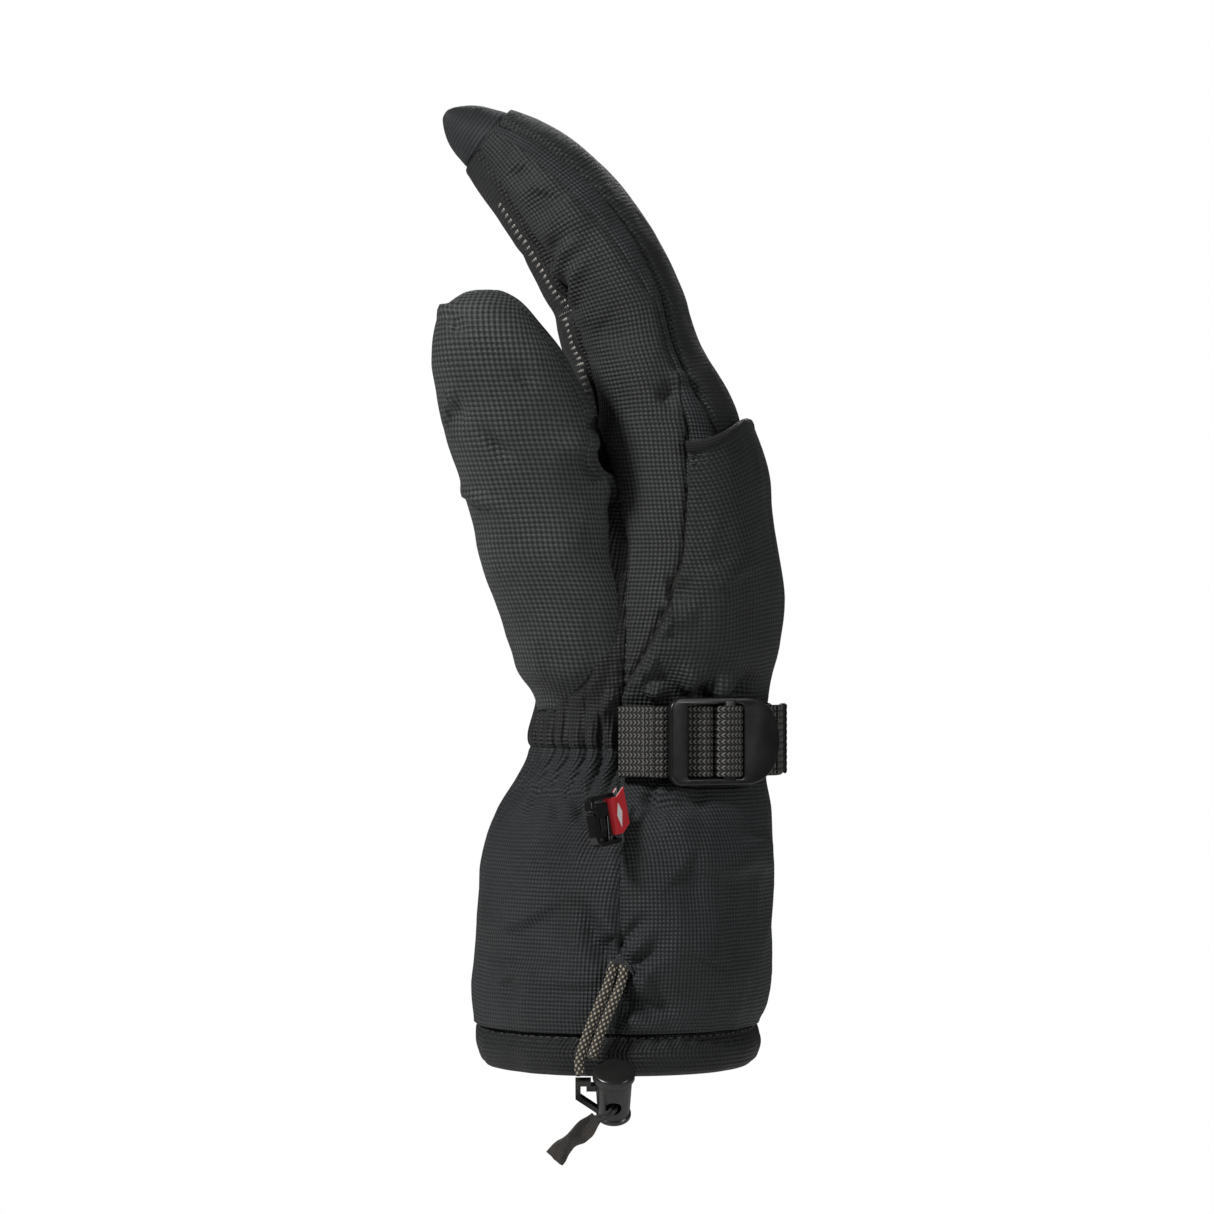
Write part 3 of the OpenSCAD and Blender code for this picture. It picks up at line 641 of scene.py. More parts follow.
def shell_panel(name, s0, s1, left, right, columns, material, rolls, lift=None, top=None, join=None):
    """One sewn panel of the mitten between two seams, as a closed sheet of shell fabric."""
    middle = 0.5 * (float(left(s0)) + float(right(s0)))
    rows = even_rows(body, s0, s1, middle, CELL)
    low, high = share_of(left(rows)), share_of(right(rows))
    share = low[:, None] + (high - low)[:, None] * closer(columns)[None, :]
    turn = turn_of(share)
    s = np.repeat(rows[:, None], columns + 1, axis=1)
    if top is not None:
        s = s0 + (s - s0) * (top(turn) - s0) / (s1 - s0)
    flat = body(s, turn)
    across, along = run_of(flat, 1), run_of(flat, 0)
    from_left, from_right = across, across[:, -1:] - across
    relief = body_relief(flat, turn)
    relief = relief + edge_roll(from_left, rolls[0]) + edge_roll(from_right, rolls[1]) - 0.9
    height = flat[..., 2]
    relief = relief + pucker(from_left, height, PUCKER) + pucker(from_right, height, PUCKER)
    if join is not None:
        relief = relief + filleted(gap_to(thumb, flat)) * join(s, turn)
    if lift is not None:
        relief = relief + lift(flat, turn)
    normals = outward(body, s, turn)
    points = (flat + normals * relief[..., None]).reshape(-1, 3)
    faces = grid_faces(len(rows), columns + 1)
    inside = (gap_to(thumb, points) < -6) & (points[:, 2] < 178) & (points[:, 2] > 140)
    faces = faces[~inside[faces].all(axis=1)]
    centre = columns // 2
    uv = np.stack([across - across[:, [centre]], np.repeat(along[:, [centre]], columns + 1, 1)], -1)
    return cloth_sheet(name, points, faces, normals, SHELL, uv, material)


# ---------------------------------------------------------------- materials


class Shader:
    """A material's node tree, with short calls to add nodes."""

    def __init__(self, name):
        self.material = bpy.data.materials.new(name)
        self.material.use_nodes = True
        self.tree = self.material.node_tree
        self.tree.nodes.clear()

    def node(self, kind, values=None, **settings):
        made = self.tree.nodes.new(kind)
        for key, value in settings.items():
            setattr(made, key, value)
        for key, value in (values or {}).items():
            if isinstance(value, bpy.types.NodeSocket):
                self.tree.links.new(value, made.inputs[key])
            else:
                made.inputs[key].default_value = value
        return made

    def math(self, operation, first, second=0.0, third=0.0):
        values = {0: first, 1: second, 2: third}
        return self.node("ShaderNodeMath", values, operation=operation).outputs[0]

    def blend(self, share, first, second):
        made = self.node("ShaderNodeMix", {0: share, 6: first, 7: second}, data_type="RGBA")
        return made.outputs[2]

    def noise(self, vector, scale, detail=3.0, rough=0.5):
        values = {"Vector": vector, "Scale": scale, "Detail": detail, "Roughness": rough}
        return self.node("ShaderNodeTexNoise", values).outputs["Fac"]

    def chart(self):
        """The piece's flat-cloth coordinates, in millimetres."""
        return self.node("ShaderNodeUVMap", uv_map="Cloth").outputs["UV"]

    def place(self, scale=(1, 1, 1)):
        """The place on the object, in metres times scale."""
        vector = self.node("ShaderNodeTexCoord").outputs["Object"]
        mapped = self.node("ShaderNodeMapping", {"Vector": vector, "Scale": scale})
        return mapped.outputs[0]

    def bump(self, height, distance, strength=1.0):
        values = {"Height": height, "Distance": distance, "Strength": strength}
        return self.node("ShaderNodeBump", values).outputs["Normal"]

    def finish(self, values):
        surface = self.node("ShaderNodeBsdfPrincipled", values)
        self.node("ShaderNodeOutputMaterial", {"Surface": surface.outputs[0]})
        return self.material


def grey(level, tint=(1, 1, 1)):
    """A grey of that level with a slight tint."""
    return (level * tint[0], level * tint[1], level * tint[2], 1)


COOL = (0.93, 1.0, 1.06)
GREEN = (0.96, 1.03, 1.0)
WARM = (1.06, 1.0, 0.92)


def woven(name, level, tint=COOL, period=1.4, contrast=0.95, twill=0.0):
    """Coarse plain-weave nylon: yarns over and under, uneven yarns, slow changes of tone, and a painted
    highlight on the yarn crowns with painted shade between them.
    """
    n = Shader(name)
    parts = n.node("ShaderNodeSeparateXYZ", {"Vector": n.chart()})
    turn = 2 * math.pi / period
    u = n.math("MULTIPLY_ADD", parts.outputs[0], turn, 0)
    v = n.math("MULTIPLY_ADD", parts.outputs[1], turn, 0)
    if twill:
        u = n.math("MULTIPLY_ADD", v, twill, u)
    cross = n.math("ADD", n.math("SINE", u), n.math("SINE", v))
    weave = n.math("MULTIPLY_ADD", cross, 0.33, 0.5)
    stretch = n.node("ShaderNodeMapping", {"Vector": n.chart(), "Scale": (0.25, 1.8, 1)}).outputs[0]
    yarn = n.noise(stretch, 1.0, 2.0)
    slow = n.noise(n.chart(), 0.04, 3.0)
    height = n.math("MULTIPLY_ADD", yarn, 0.6, weave)
    # The weave's height sets the colour: painted highlight on the yarn crowns, painted shade between them.
    tone = n.math("POWER", n.math("MULTIPLY_ADD", height, contrast, 1 - contrast), 1.5)
    tone = n.math("MULTIPLY", tone, n.math("MULTIPLY_ADD", slow, 1.3, 0.35))
    colour = n.blend(n.math("MULTIPLY", tone, 0.62), grey(level * 0.08, tint), grey(level * 2.3, tint))
    rough = n.math("MULTIPLY_ADD", yarn, 0.2, 0.5)
    return n.finish({
        "Base Color": colour, "Roughness": rough, "Specular IOR Level": 0.35,
        "Sheen Weight": 0.04, "Sheen Roughness": 0.5, "Normal": n.bump(height, 0.4 * MM),
    })


def ribbed_webbing(name, level):
    """Flat woven webbing: rows along its length, each of yarns slanted to a V, with yarn crowns painted pale
    as a painted highlight and grooves painted dark as painted shade.
    """
    n = Shader(name)
    parts = n.node("ShaderNodeSeparateXYZ", {"Vector": n.chart()})
    u, v = parts.outputs[0], parts.outputs[1]
    share = n.math("FRACT", n.math("MULTIPLY", v, WEBBING_ROWS / WEBBING))
    middle = n.math("SUBTRACT", 1.0, n.math("ABSOLUTE", n.math("MULTIPLY_ADD", share, 2.0, -1.0)))
    phase = n.math("MULTIPLY_ADD", u, 2 * math.pi / 1.5, n.math("MULTIPLY", middle, 4.4))
    yarn = n.math("MULTIPLY_ADD", n.math("SINE", phase), 0.5, 0.5)
    gap = n.node("ShaderNodeMapRange", {"Value": middle, "From Min": 0.04, "From Max": 0.45}).outputs[0]
    height = n.math("MULTIPLY", yarn, gap)
    fuzz = n.noise(n.chart(), 2.2, 2.0)
    # The colour runs from near black in the grooves to pale on the yarn crowns: painted shade and painted
    # highlight.
    tone = n.math("MULTIPLY", n.math("POWER", height, 2.0), n.math("MULTIPLY_ADD", fuzz, 1.3, 0.35))
    colour = n.blend(tone, grey(level * 0.08, WARM), grey(level * 13, WARM))
    return n.finish({
        "Base Color": colour, "Roughness": 0.55, "Specular IOR Level": 0.4,
        "Sheen Weight": 0.05, "Normal": n.bump(height, 0.35 * MM, 1.0),
    })


def moulded_plastic(name, level, rough=0.34, grain=0.03):
    """Moulded black plastic: a faint grain, slow changes of tone, and sharp edges painted paler as a painted
    highlight.
    """
    n = Shader(name)
    fine = n.noise(n.place(), 2600, 2.0)
    slow = n.noise(n.place(), 160, 4.0)
    # Pointiness picks out the sharp edges, which are painted paler: a painted highlight along them.
    edge = n.node("ShaderNodeNewGeometry").outputs["Pointiness"]
    painted_edge_highlight_mask = n.node("ShaderNodeMapRange", {
        "Value": edge, "From Min": 0.5, "From Max": 0.62, "To Min": 0.0, "To Max": 1.0,
    }).outputs[0]
    painted_edge_highlight = n.math("MULTIPLY", painted_edge_highlight_mask, slow)
    colour = n.blend(n.math("MULTIPLY_ADD", slow, 0.25, n.math("MULTIPLY", painted_edge_highlight, 0.5)),
                     grey(level), grey(level * 3.2, WARM))
    shine = n.math("MULTIPLY_ADD", slow, 0.22, rough - 0.11)
    return n.finish({
        "Base Color": colour, "Roughness": shine, "Specular IOR Level": 0.5,
        "Normal": n.bump(fine, grain * MM, 0.6),
    })


def braid(name, dark, pale):
    """Braided cord: pale strands on the lobes and dark gaps between them."""
    n = Shader(name)
    lobe = n.node("ShaderNodeAttribute", attribute_name="lobe").outputs["Fac"]
    fuzz = n.noise(n.place(), 1800, 2.0)
    tone = n.math("MULTIPLY", n.math("POWER", lobe, 1.3), n.math("MULTIPLY_ADD", fuzz, 1.1, 0.4))
    return n.finish({
        "Base Color": n.blend(tone, dark, pale), "Roughness": 0.7,
        "Sheen Weight": 0.15, "Normal": n.bump(fuzz, 0.12 * MM, 0.7),
    })


def soft_fill(name, colour, size, depth):
    """Brushed or fibrous cloth."""
    n = Shader(name)
    fibre = n.noise(n.place((1, 1, 2.2)), size, 5.0, 0.7)
    lump = n.noise(n.place(), size / 9, 3.0)
    tone = n.math("MULTIPLY_ADD", fibre, 0.7, n.math("MULTIPLY", lump, 0.3))
    dark = tuple(0.45 * c for c in colour[:3]) + (1,)
    return n.finish({
        "Base Color": n.blend(tone, dark, colour), "Roughness": 0.95, "Sheen Weight": 0.3,
        "Sheen Roughness": 0.4, "Normal": n.bump(tone, depth * MM, 0.8),
    })


def film(name):
    """Thin waterproof film with fine crinkles."""
    n = Shader(name)
    crinkle = n.noise(n.place(), 240, 5.0, 0.6)
    colour = n.blend(crinkle, (0.2, 0.25, 0.29, 1), (0.36, 0.42, 0.46, 1))
    return n.finish({
        "Base Color": colour, "Roughness": 0.35, "Normal": n.bump(crinkle, 0.3 * MM, 0.7),
    })


def ribbon(name):
    """Red woven ribbon with one plain white lozenge in the middle."""
    n = Shader(name)
    parts = n.node("ShaderNodeSeparateXYZ", {"Vector": n.chart()})
    u, v = parts.outputs[0], parts.outputs[1]
    wide = n.math("ABSOLUTE", n.math("MULTIPLY_ADD", u, 1 / 1.6, -4.6 / 1.6))
    tall = n.math("ABSOLUTE", n.math("MULTIPLY_ADD", v, 1 / 4.4, -6.4 / 4.4))
    mark = n.math("LESS_THAN", n.math("ADD", wide, tall), 1.0)
    rib = n.math("MULTIPLY_ADD", n.math("SINE", n.math("MULTIPLY", v, 2 * math.pi / 0.45)), 0.5, 0.5)
    fuzz = n.noise(n.chart(), 2.5, 2.0)
    red = n.blend(n.math("MULTIPLY_ADD", fuzz, 0.6, n.math("MULTIPLY", rib, 0.3)),
                  (0.42, 0.004, 0.012, 1), (0.85, 0.015, 0.03, 1))
    return n.finish({
        "Base Color": n.blend(mark, red, (0.85, 0.82, 0.8, 1)), "Roughness": 0.6,
        "Sheen Weight": 0.1, "Normal": n.bump(rib, 0.08 * MM, 0.6),
    })


def steel(name):
    """Drawn steel wire, brushed along its length."""
    n = Shader(name)
    brushed = n.noise(n.place((1, 1, 9)), 900, 3.0)
    return n.finish({
        "Base Color": (0.55, 0.55, 0.56, 1), "Metallic": 1.0,
        "Roughness": n.math("MULTIPLY_ADD", brushed, 0.25, 0.2), "Normal": n.bump(brushed, 0.02 * MM),
    })


def rubber_print(name, level):
    """Printed rubber: matt, with small pits."""
    n = Shader(name)
    pits = n.noise(n.place(), 1500, 3.0)
    colour = n.blend(pits, grey(level * 0.6, WARM), grey(level * 1.4, WARM))
    return n.finish({
        "Base Color": colour, "Roughness": 0.55, "Normal": n.bump(pits, 0.05 * MM, 0.6),
    })


def thread(name, level):
    """Sewing thread with a faint ply."""
    n = Shader(name)
    ply = n.noise(n.place((1, 1, 3)), 2200, 2.0)
    return n.finish({
        "Base Color": n.blend(ply, grey(level * 0.5), grey(level * 1.6)), "Roughness": 0.55,
        "Sheen Weight": 0.1, "Normal": n.bump(ply, 0.06 * MM, 0.8),
    })


M = {
    "cuff": woven("cuff_fabric", 0.0155, (0.92, 1.0, 1.08)),
    # The hem's cloth gets a darker level to offset the light its rounded fold catches: painted shade.
    "hem": woven("hem_fabric", 0.0075, (0.92, 1.0, 1.06), period=1.5),
    # The palm's cloth gets a darker level than the other panels: painted shade from the thumb's overhang
    # near the wrist.
    "palm": woven("palm_fabric", 0.01, GREEN),
    "gusset": woven("gusset_fabric", 0.0215, GREEN, period=1.5),
    "back": woven("back_fabric", 0.0145, (0.93, 1.0, 1.02), period=1.6, twill=0.25),
    "strip": woven("strip_fabric", 0.019, COOL, period=1.4),
    "thumb": woven("thumb_fabric", 0.036, GREEN, period=1.8),
    "cap": woven("cap_fabric", 0.03, COOL, period=1.4),
    "binding": woven("binding_tape", 0.009, COOL, period=0.8, twill=0.8),
    "webbing": ribbed_webbing("webbing_weave", 0.0125),
    "plastic": moulded_plastic("buckle_black", 0.0045, 0.3),
    "clip": moulded_plastic("clip_black", 0.0055, 0.15, 0.008),
    "lock": moulded_plastic("lock_black", 0.01, 0.3, 0.02),
    "braid": braid("cord_braid", (0.008, 0.0075, 0.006, 1), (0.62, 0.52, 0.38, 1)),
    # The black loop cord's strand lobes are painted paler than its gaps: a painted highlight.
    "loop": braid("loop_braid", (0.006, 0.006, 0.006, 1), (0.05, 0.05, 0.05, 1)),
    "tab": woven("tab_cloth", 0.04, (1.15, 1.0, 0.9), period=0.7, contrast=0.4),
    "label": ribbon("label_ribbon"),
    "label_back": soft_fill("label_reverse", (0.8, 0.78, 0.76, 1), 1800, 0.05),
    "elastic": soft_fill("elastic_band", (0.03, 0.032, 0.034, 1), 1200, 0.1),
    "insulation": soft_fill("insulation_fibre", (0.75, 0.75, 0.71, 1), 420, 0.5),
    "film": film("insert_film"),
    "lining": soft_fill("lining_fleece", (0.09, 0.095, 0.105, 1), 700, 0.4),
    "grip": rubber_print("grip_base", 0.012),
    "dots": rubber_print("grip_dots", 0.38),
    "steel": steel("spring_steel"),
    "thread": thread("sewing_thread", 0.03),
    "pale_thread": thread("pale_thread", 0.06),
}

# ---------------------------------------------------------------- drawcord


def smooth_route(points, step=0.25):
    """A route resampled evenly on a smooth curve through its points."""
    table = np.array(points, float)
    fine = station(table, np.linspace(0, len(table) - 1, 60 * len(table)))
    length = run_of(fine, 0)
    count = max(4, int(length[-1] / step) + 1)
    even = np.linspace(0, length[-1], count)
    return np.stack([np.interp(even, length, fine[:, k]) for k in range(3)], -1)


def tube(name, route, radius, material, sides=40, lobes=5, pitch=2.5, raise_by=0.16, closed=False):
    """A cord swept along a route; lobes and pitch set the braid's strands in its surface."""
    count = len(route)
    tangent = unit(np.gradient(route, axis=0))
    side = np.cross(tangent[0], [0.0, 0.9, 0.3])
    rings, raised = [], []
    length = run_of(route, 0)
    angle = np.linspace(0, 2 * np.pi, sides, endpoint=False)
    for i in range(count):
        side = unit(side - tangent[i] * (side @ tangent[i]))
        other = np.cross(tangent[i], side)
        travel = 2 * np.pi * length[i] / pitch
        lobe = np.maximum(0, np.cos(lobes * angle) * np.cos(travel))
        reach = radius * (1 - raise_by + raise_by * lobe)
        around_route = np.cos(angle)[:, None] * side + np.sin(angle)[:, None] * other
        rings.append(route[i] + reach[:, None] * around_route)
        raised.append(lobe)
    faces = ring_faces(count, sides, closed).tolist()
    if not closed:
        faces += [list(range(sides))[::-1], [(count - 1) * sides + j for j in range(sides)]]
    mesh = new_mesh(name, np.vstack(rings), faces, material)
    strands = mesh.attributes.new("lobe", "FLOAT", "POINT")
    strands.data.foreach_set("value", np.concatenate(raised).astype(np.float32))
    return linked(name, mesh)


# The drawcord's legs: the first point lies in the seam, and the others are the part's own routes
CORD_DIAMETER = 3.6
CORD_FRONT = [
    (1.5, -61.8, 39.6), (2.0, -62.9, 37), (1.2, -64, 33), (-0.6, -65, 28.5), (-2.6, -65.9, 24),
    (-4.5, -66.7, 19.5), (-6.3, -67.5, 15), (-7.8, -68.3, 11), (-8.9, -69.3, 7.8),
]
CORD_REAR = [
    (-1.3, -61.4, 39.4), (-2.0, -62.9, 37), (-3.3, -64, 32.5), (-5.3, -65, 28), (-7.2, -65.9, 23.5),
    (-9.1, -66.7, 19), (-10.9, -67.5, 14.5), (-12.3, -68.5, 10), (-13.2, -69.4, 5.6),
    (-12.6, -70.4, 1.9),
]


def joint(name):
    """The frame's record of a joint."""
    return next(j for j in frame["joints"] if j["name"] == name)


def drawcord_leg(name, points, node):
    """One leg of the drawcord, from the side seam to the cord lock."""
    route = smooth_route(points)
    piece = tube(name, route, CORD_DIAMETER / 2, M["braid"])
    slide = joint("lock_slide")
    axis = np.array(slide["axis"], float)
    axis /= np.linalg.norm(axis)
    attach(piece, "gauntlet")
    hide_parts(node)
    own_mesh(piece)


set_camera()
set_light()
drawcord_leg("drawcord_front_leg", CORD_FRONT, "drawcord_front")
drawcord_leg("drawcord_rear_leg", CORD_REAR, "drawcord_rear")

# ---------------------------------------------------------------- outer shell


def knuckle_blend(piece):
    """Fabric of the fingers; its place is baked into its points."""
    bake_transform(piece)


def thumb_blend(piece):
    """Fabric of the thumb; its place is baked into its points."""
    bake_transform(piece)


def palm_join(s, turn):
    """1 on the palm side of the thumb-side seam, where hand and thumb are one fabric."""
    return smooth(palm_seam(s) - turn, 3, 16) * smooth(turn, 130, 150) * smooth(s, 12.2, 14.8)


def overlay_lift(points, turn):
    """The overlay lies over the back, and its mouth stands open a little."""
    z = points[..., 2]
    side = np.abs((turn % 360) - 180) / 90 - 1
    return 1.5 * smooth(z, 118, 145) + (0.5 + 0.9 * smooth(side, 0.4, 0.9)) * smooth(z, 196, 222)


def pocket_top(turn):
    """Station of the overlay's top edge."""
    away = np.abs((turn + 180) % 360 - 180) / 86
    return POCKET_CENTRE_S + (POCKET_EDGE_S - POCKET_CENTRE_S) * smooth(away, 0.2, 1.0)


def under_pocket(points, turn):
    """The back panel sinks below the pocket's edge; turn is there to match overlay_lift."""
    return -1.8 * np.exp(-(((points[..., 2] - 224) / 7) ** 2))


# Name, first and last station, left and right seam, columns, cloth, depth of the two seams, shape options,
# CAD nodes that the panel replaces, slot, and how it is placed
PANELS = [
    ("cuff_palm_shell", 2, GATHER_S, far_palm_seam, palm_seam, 150, "cuff", (0.8, 0.8), {},
     ["cuff_palm_panel"], "cuff_shell", None),
    ("cuff_back_shell", 2, GATHER_S, palm_seam, shifted(far_palm_seam), 150, "cuff", (0.9, 0.9), {},
     ["cuff_back_panel"], "cuff_shell", None),
    ("palm_shell", GATHER_S, CAP_S, far_palm_seam, palm_seam, 140, "palm", (1.5, 1.5), {"join": palm_join},
     ["hand_palm_panel", "finger_palm_panel", "wrist_gather"], "hand_shell", knuckle_blend),
    ("thumb_side_gusset_shell", GUSSET_S, CAP_S, palm_seam, back_seam, 40, "gusset", (1.5, 0.8), {},
     ["thumb_side_gusset", "finger_gusset_inner"], "gusset_shell", knuckle_blend),
    ("outer_side_gusset_shell", GUSSET_S, CAP_S, far_back_seam, far_palm_seam, 40, "gusset", (0.8, 1.5), {},
     ["outer_side_gusset", "finger_gusset_outer"], "gusset_shell", knuckle_blend),
    ("thumb_side_strip", RIDGE_S, CAP_S, back_seam, ridge_seam, 16, "strip", (0.8, 1.6),
     {"lift": under_pocket}, [], "back_shell", knuckle_blend),
    ("outer_side_strip", RIDGE_S, CAP_S, far_ridge_seam, far_back_seam, 16, "strip", (1.6, 0.8),
     {"lift": under_pocket}, [], "back_shell", knuckle_blend),
    ("back_shell", BACK_S, CAP_S, ridge_seam, shifted(far_ridge_seam), 96, "back", (1.6, 1.6),
     {"lift": under_pocket}, ["hand_back_panel", "finger_back_panel", "finger_flex_zone"], "back_shell",
     knuckle_blend),
    ("back_overlay_shell", GATHER_S, POCKET_CENTRE_S, back_seam, shifted(far_back_seam), 140, "back",
     (0.8, 0.8), {"lift": overlay_lift, "top": pocket_top}, ["back_overlay"], "back_shell", None),
]

for name, s0, s1, left, right, columns, cloth, rolls, more, nodes, slot, bend in PANELS:
    panel = shell_panel(name, s0, s1, left, right, columns, M[cloth], rolls, **more)
    if nodes:
        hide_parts(*nodes)
    if bend:
        bend(panel)
    else:
        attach(panel, "gauntlet")


def closed_tip(name, surface, s0, s1, depths, columns, material, relief, step, cut=None):
    """A closed pocket of fabric from a station to the tip, between two depths below the outer face."""
    rows = even_rows(surface, s0, s1, 270, step)
    s, turn = np.meshgrid(rows, np.linspace(0, 360, columns + 1), indexing="ij")
    outer = surface(s, turn, depths[0])
    inner = surface(s, turn, depths[1])
    normals = outward(surface, s, turn)
    flat = surface(s, turn)
    height = relief(flat, turn)
    points = (outer + normals * height[..., None]).reshape(-1, 3)
    faces = grid_faces(len(rows), columns + 1)
    if cut is not None:
        faces = faces[~cut(points)[faces].all(axis=1)]
    uv = np.stack([run_of(flat, 1), np.repeat(run_of(flat, 0)[:, [columns // 2]], columns + 1, 1)], -1)
    through = (outer - inner).reshape(-1, 3)
    thick = np.linalg.norm(through, axis=1)
    direction = through / np.maximum(thick, 1e-6)[:, None]
    return cloth_sheet(name, points, faces, direction, thick[np.unique(faces)], uv, material)


def cap_relief(flat, turn):
    """The fingertip's fabric, rolled down into its seam."""
    along = run_of(flat, 0)
    return body_relief(flat, turn) + edge_roll(along, 1.2, 1.2, 0.6) - 0.6


cap = closed_tip("fingertip_cap_shell", body, CAP_S, TIP_S, (0.0, SHELL), 120, M["cap"], cap_relief, 1.0)
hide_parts("fingertip_cap")
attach(cap, "fingers")

# ---------------------------------------------------------------- thumb


def thumb_shell(name, turn0, turn1, columns, nodes):
    """Half of the thumb's shell; below the hand's surface it ends inside the insulation."""
    rows = even_rows(thumb, thumb_s(126), len(THUMB) - 1, 200, CELL)
    turn = turn0 + (turn1 - turn0) * closer(columns)
    s, turn = np.meshgrid(rows, turn, indexing="ij")
    flat = thumb(s, turn)
    across, along = run_of(flat, 1), run_of(flat, 0)
    seam_depth = 1.1 * smooth(flat[..., 2], 196, 215)
    rolls = [edge_roll(d, 1, 1.3, 0.5) * seam_depth for d in (across, across[:, -1:] - across)]
    normals = outward(thumb, s, turn)
    soft = 1 - smooth(turn % 360, 262, 285)
    relief = thumb_relief(flat) + rolls[0] + rolls[1] + soft * filleted(gap_to(body, flat))
    relief = relief - 4.5 * (1 - smooth(flat[..., 2], 127, 143))
    points = (flat + normals * relief[..., None]).reshape(-1, 3)
    faces = grid_faces(len(rows), columns + 1)
    buried = (gap_to(body, points) < -6.5) & (points[:, 2] < 222)
    faces = faces[~buried[faces].all(axis=1)]
    centre = columns // 2
    uv = np.stack([across - across[:, [centre]], along[:, [centre]].repeat(columns + 1, 1)], -1)
    piece = cloth_sheet(name, points, faces, normals, SHELL, uv, M["thumb"])
    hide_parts(*nodes)
    thumb_blend(piece)


thumb_shell("thumb_front_shell", 178, 338, 84, ["thumb_front_panel", "thumb_base_panel"])
thumb_shell("thumb_rear_shell", -22, 178, 96, ["thumb_rear_panel", "thumb_flex_zone"])

# ---------------------------------------------------------------- inner layers


def quiet(flat, turn):
    """Inner layers follow half of the shell's relief."""
    return 0.5 * np.minimum(body_relief(flat, turn), 0.6) - 0.3


def quiet_thumb(flat, turn):
    """Inner layers of the thumb follow less than half of its relief; turn is there to match quiet."""
    return 0.4 * np.minimum(thumb_relief(flat), 0.5) - 0.2


def thumb_opening(depth):
    """Points of a hand layer that lie in the thumb's space."""
    return lambda p: (gap_to(thumb, p) < -depth) & (p[:, 2] < 190) & (p[:, 2] > 126)


def hand_opening(depth):
    """Points of a thumb layer that lie in the hand's space."""
    return lambda p: (gap_to(body, p) < -depth) & (p[:, 2] < 224)


# Name, outer and inner depth, height where it starts, cloth and slot
LAYERS = [
    ("insulation", 3.7, 4.7, 130, "insulation", "insulation"),
    ("insert", 5.0, 5.4, HEM, "film", "insert_film"),
    ("lining", 5.8, 7.2, HEM, "lining", "lining"),
]
for name, top, bottom, start, cloth, slot in LAYERS:
    hand = closed_tip("mitten_" + name, body, body_s(start), TIP_S, (top, bottom), 96, M[cloth], quiet, 3.0,
                      thumb_opening(bottom))
    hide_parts("hand_" + name, "finger_" + name)
    knuckle_blend(hand)
    inner_thumb = closed_tip("thumb_space_" + name, thumb, thumb_s(128), len(THUMB) - 1, (top, bottom), 56,
                             M[cloth], quiet_thumb, 3.0, hand_opening(bottom))
    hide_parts("thumb_" + name)
    thumb_blend(inner_thumb)


def band(name, profile, columns, material, relief, nodes, body_name="gauntlet"):
    """A closed band round the cuff or wrist: profile points are (height, depth below the outer face)."""
    height = np.array([p[0] for p in profile], float)
    depth = np.array([p[1] for p in profile], float)
    s = np.interp(height, BODY[:, 1], np.arange(len(BODY)))
    turn = turn_of(np.linspace(0, 1, columns + 1))
    s, turn = np.meshgrid(s, turn, indexing="ij")
    q = np.moveaxis(station(BODY, s), -1, 0)
    x, y = section(q[3] - depth[:, None], q[4] - depth[:, None], q[5], turn)
    flat = np.stack([q[0] + x, y, np.repeat(height[:, None], columns + 1, 1)], -1)
    normals = outward(body, s, turn)
    points = flat + normals * relief(flat, turn, depth[:, None])[..., None]
    uv = np.stack([run_of(flat, 1), run_of(flat, 0)], -1)
    faces = grid_faces(len(profile), columns + 1, wrap_rows=True)
    if height[0] > height[1]:
        faces = faces[:, ::-1]
    piece = make_object(name, points.reshape(-1, 3), faces, material, uv.reshape(-1, 2), weld=True)
    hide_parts(*nodes)
    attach(piece, body_name)


def hem_profile():
    """The folded hem: down the outside, round its lower edge, up the inside and across."""
    thick = 7.2
    radius = thick / 2
    outside = [(z, 0.0) for z in np.linspace(HEM, radius * 0.8, 12)]
    arc = np.linspace(0, math.pi, 11)[1:-1]
    fold = [(radius * 0.8 * (1 - math.sin(a)), radius * (1 - math.cos(a))) for a in arc]
    inside = [(z, thick) for z in np.linspace(radius * 0.8, HEM, 8)]
    return outside + fold + inside + [(HEM + 0.2, thick * 0.6), (HEM + 0.2, thick * 0.2)]


def hem_relief(flat, turn, depth):
    """The hem's outer face swells between its stitches and its fold."""
    z = flat[..., 2]
    outer = 1 - smooth(depth, 0.5, 4)
    swell = 0.9 * np.exp(-(((z - 7.5) / 5) ** 2)) - 1.2 * np.exp(-(((z - HEM) / 1.2) ** 2))
    ripple = 0.9 * noise(flat * np.array([1, 1, 0.5]), 9, 51) + 0.5 * noise(flat, 26, 1)
    pleat = 0.35 * np.sin(share_of(turn) * 360 / 5.5 * 2 * math.pi) * np.exp(-(((z - 12.5) / 2.5) ** 2))
    return outer * (swell + ripple + pleat) - 0.3


def elastic_relief(flat, turn, depth):
    """Rubber threads round the elastic; turn is there to match hem_relief."""
    return 0.35 * np.sin(flat[..., 2] * 2 * math.pi / 2.4) * (1 - smooth(depth, 1.6, 2.8)) - 0.2


band("cuff_hem_band", hem_profile(), 300, M["hem"], hem_relief, ["cuff_hem"])
elastic_profile = [(z, 1.5) for z in np.linspace(124, 107, 30)]
elastic_profile += [(z, 3.0) for z in np.linspace(107, 124, 8)]
band("wrist_elastic_band", elastic_profile, 120, M["elastic"], elastic_relief, ["wrist_elastic"])

loop_turn = turn_of(np.linspace(0, 1, 400, endpoint=False))
channel_route = body(np.full(400, body_s(CHANNEL_Z)), loop_turn, 4.1)
channel = tube("channel_drawcord", channel_route, 1.6, M["braid"], sides=10, lobes=3, closed=True)
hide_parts("channel_cord")
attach(channel, "gauntlet")

# ---------------------------------------------------------------- stitches and binding


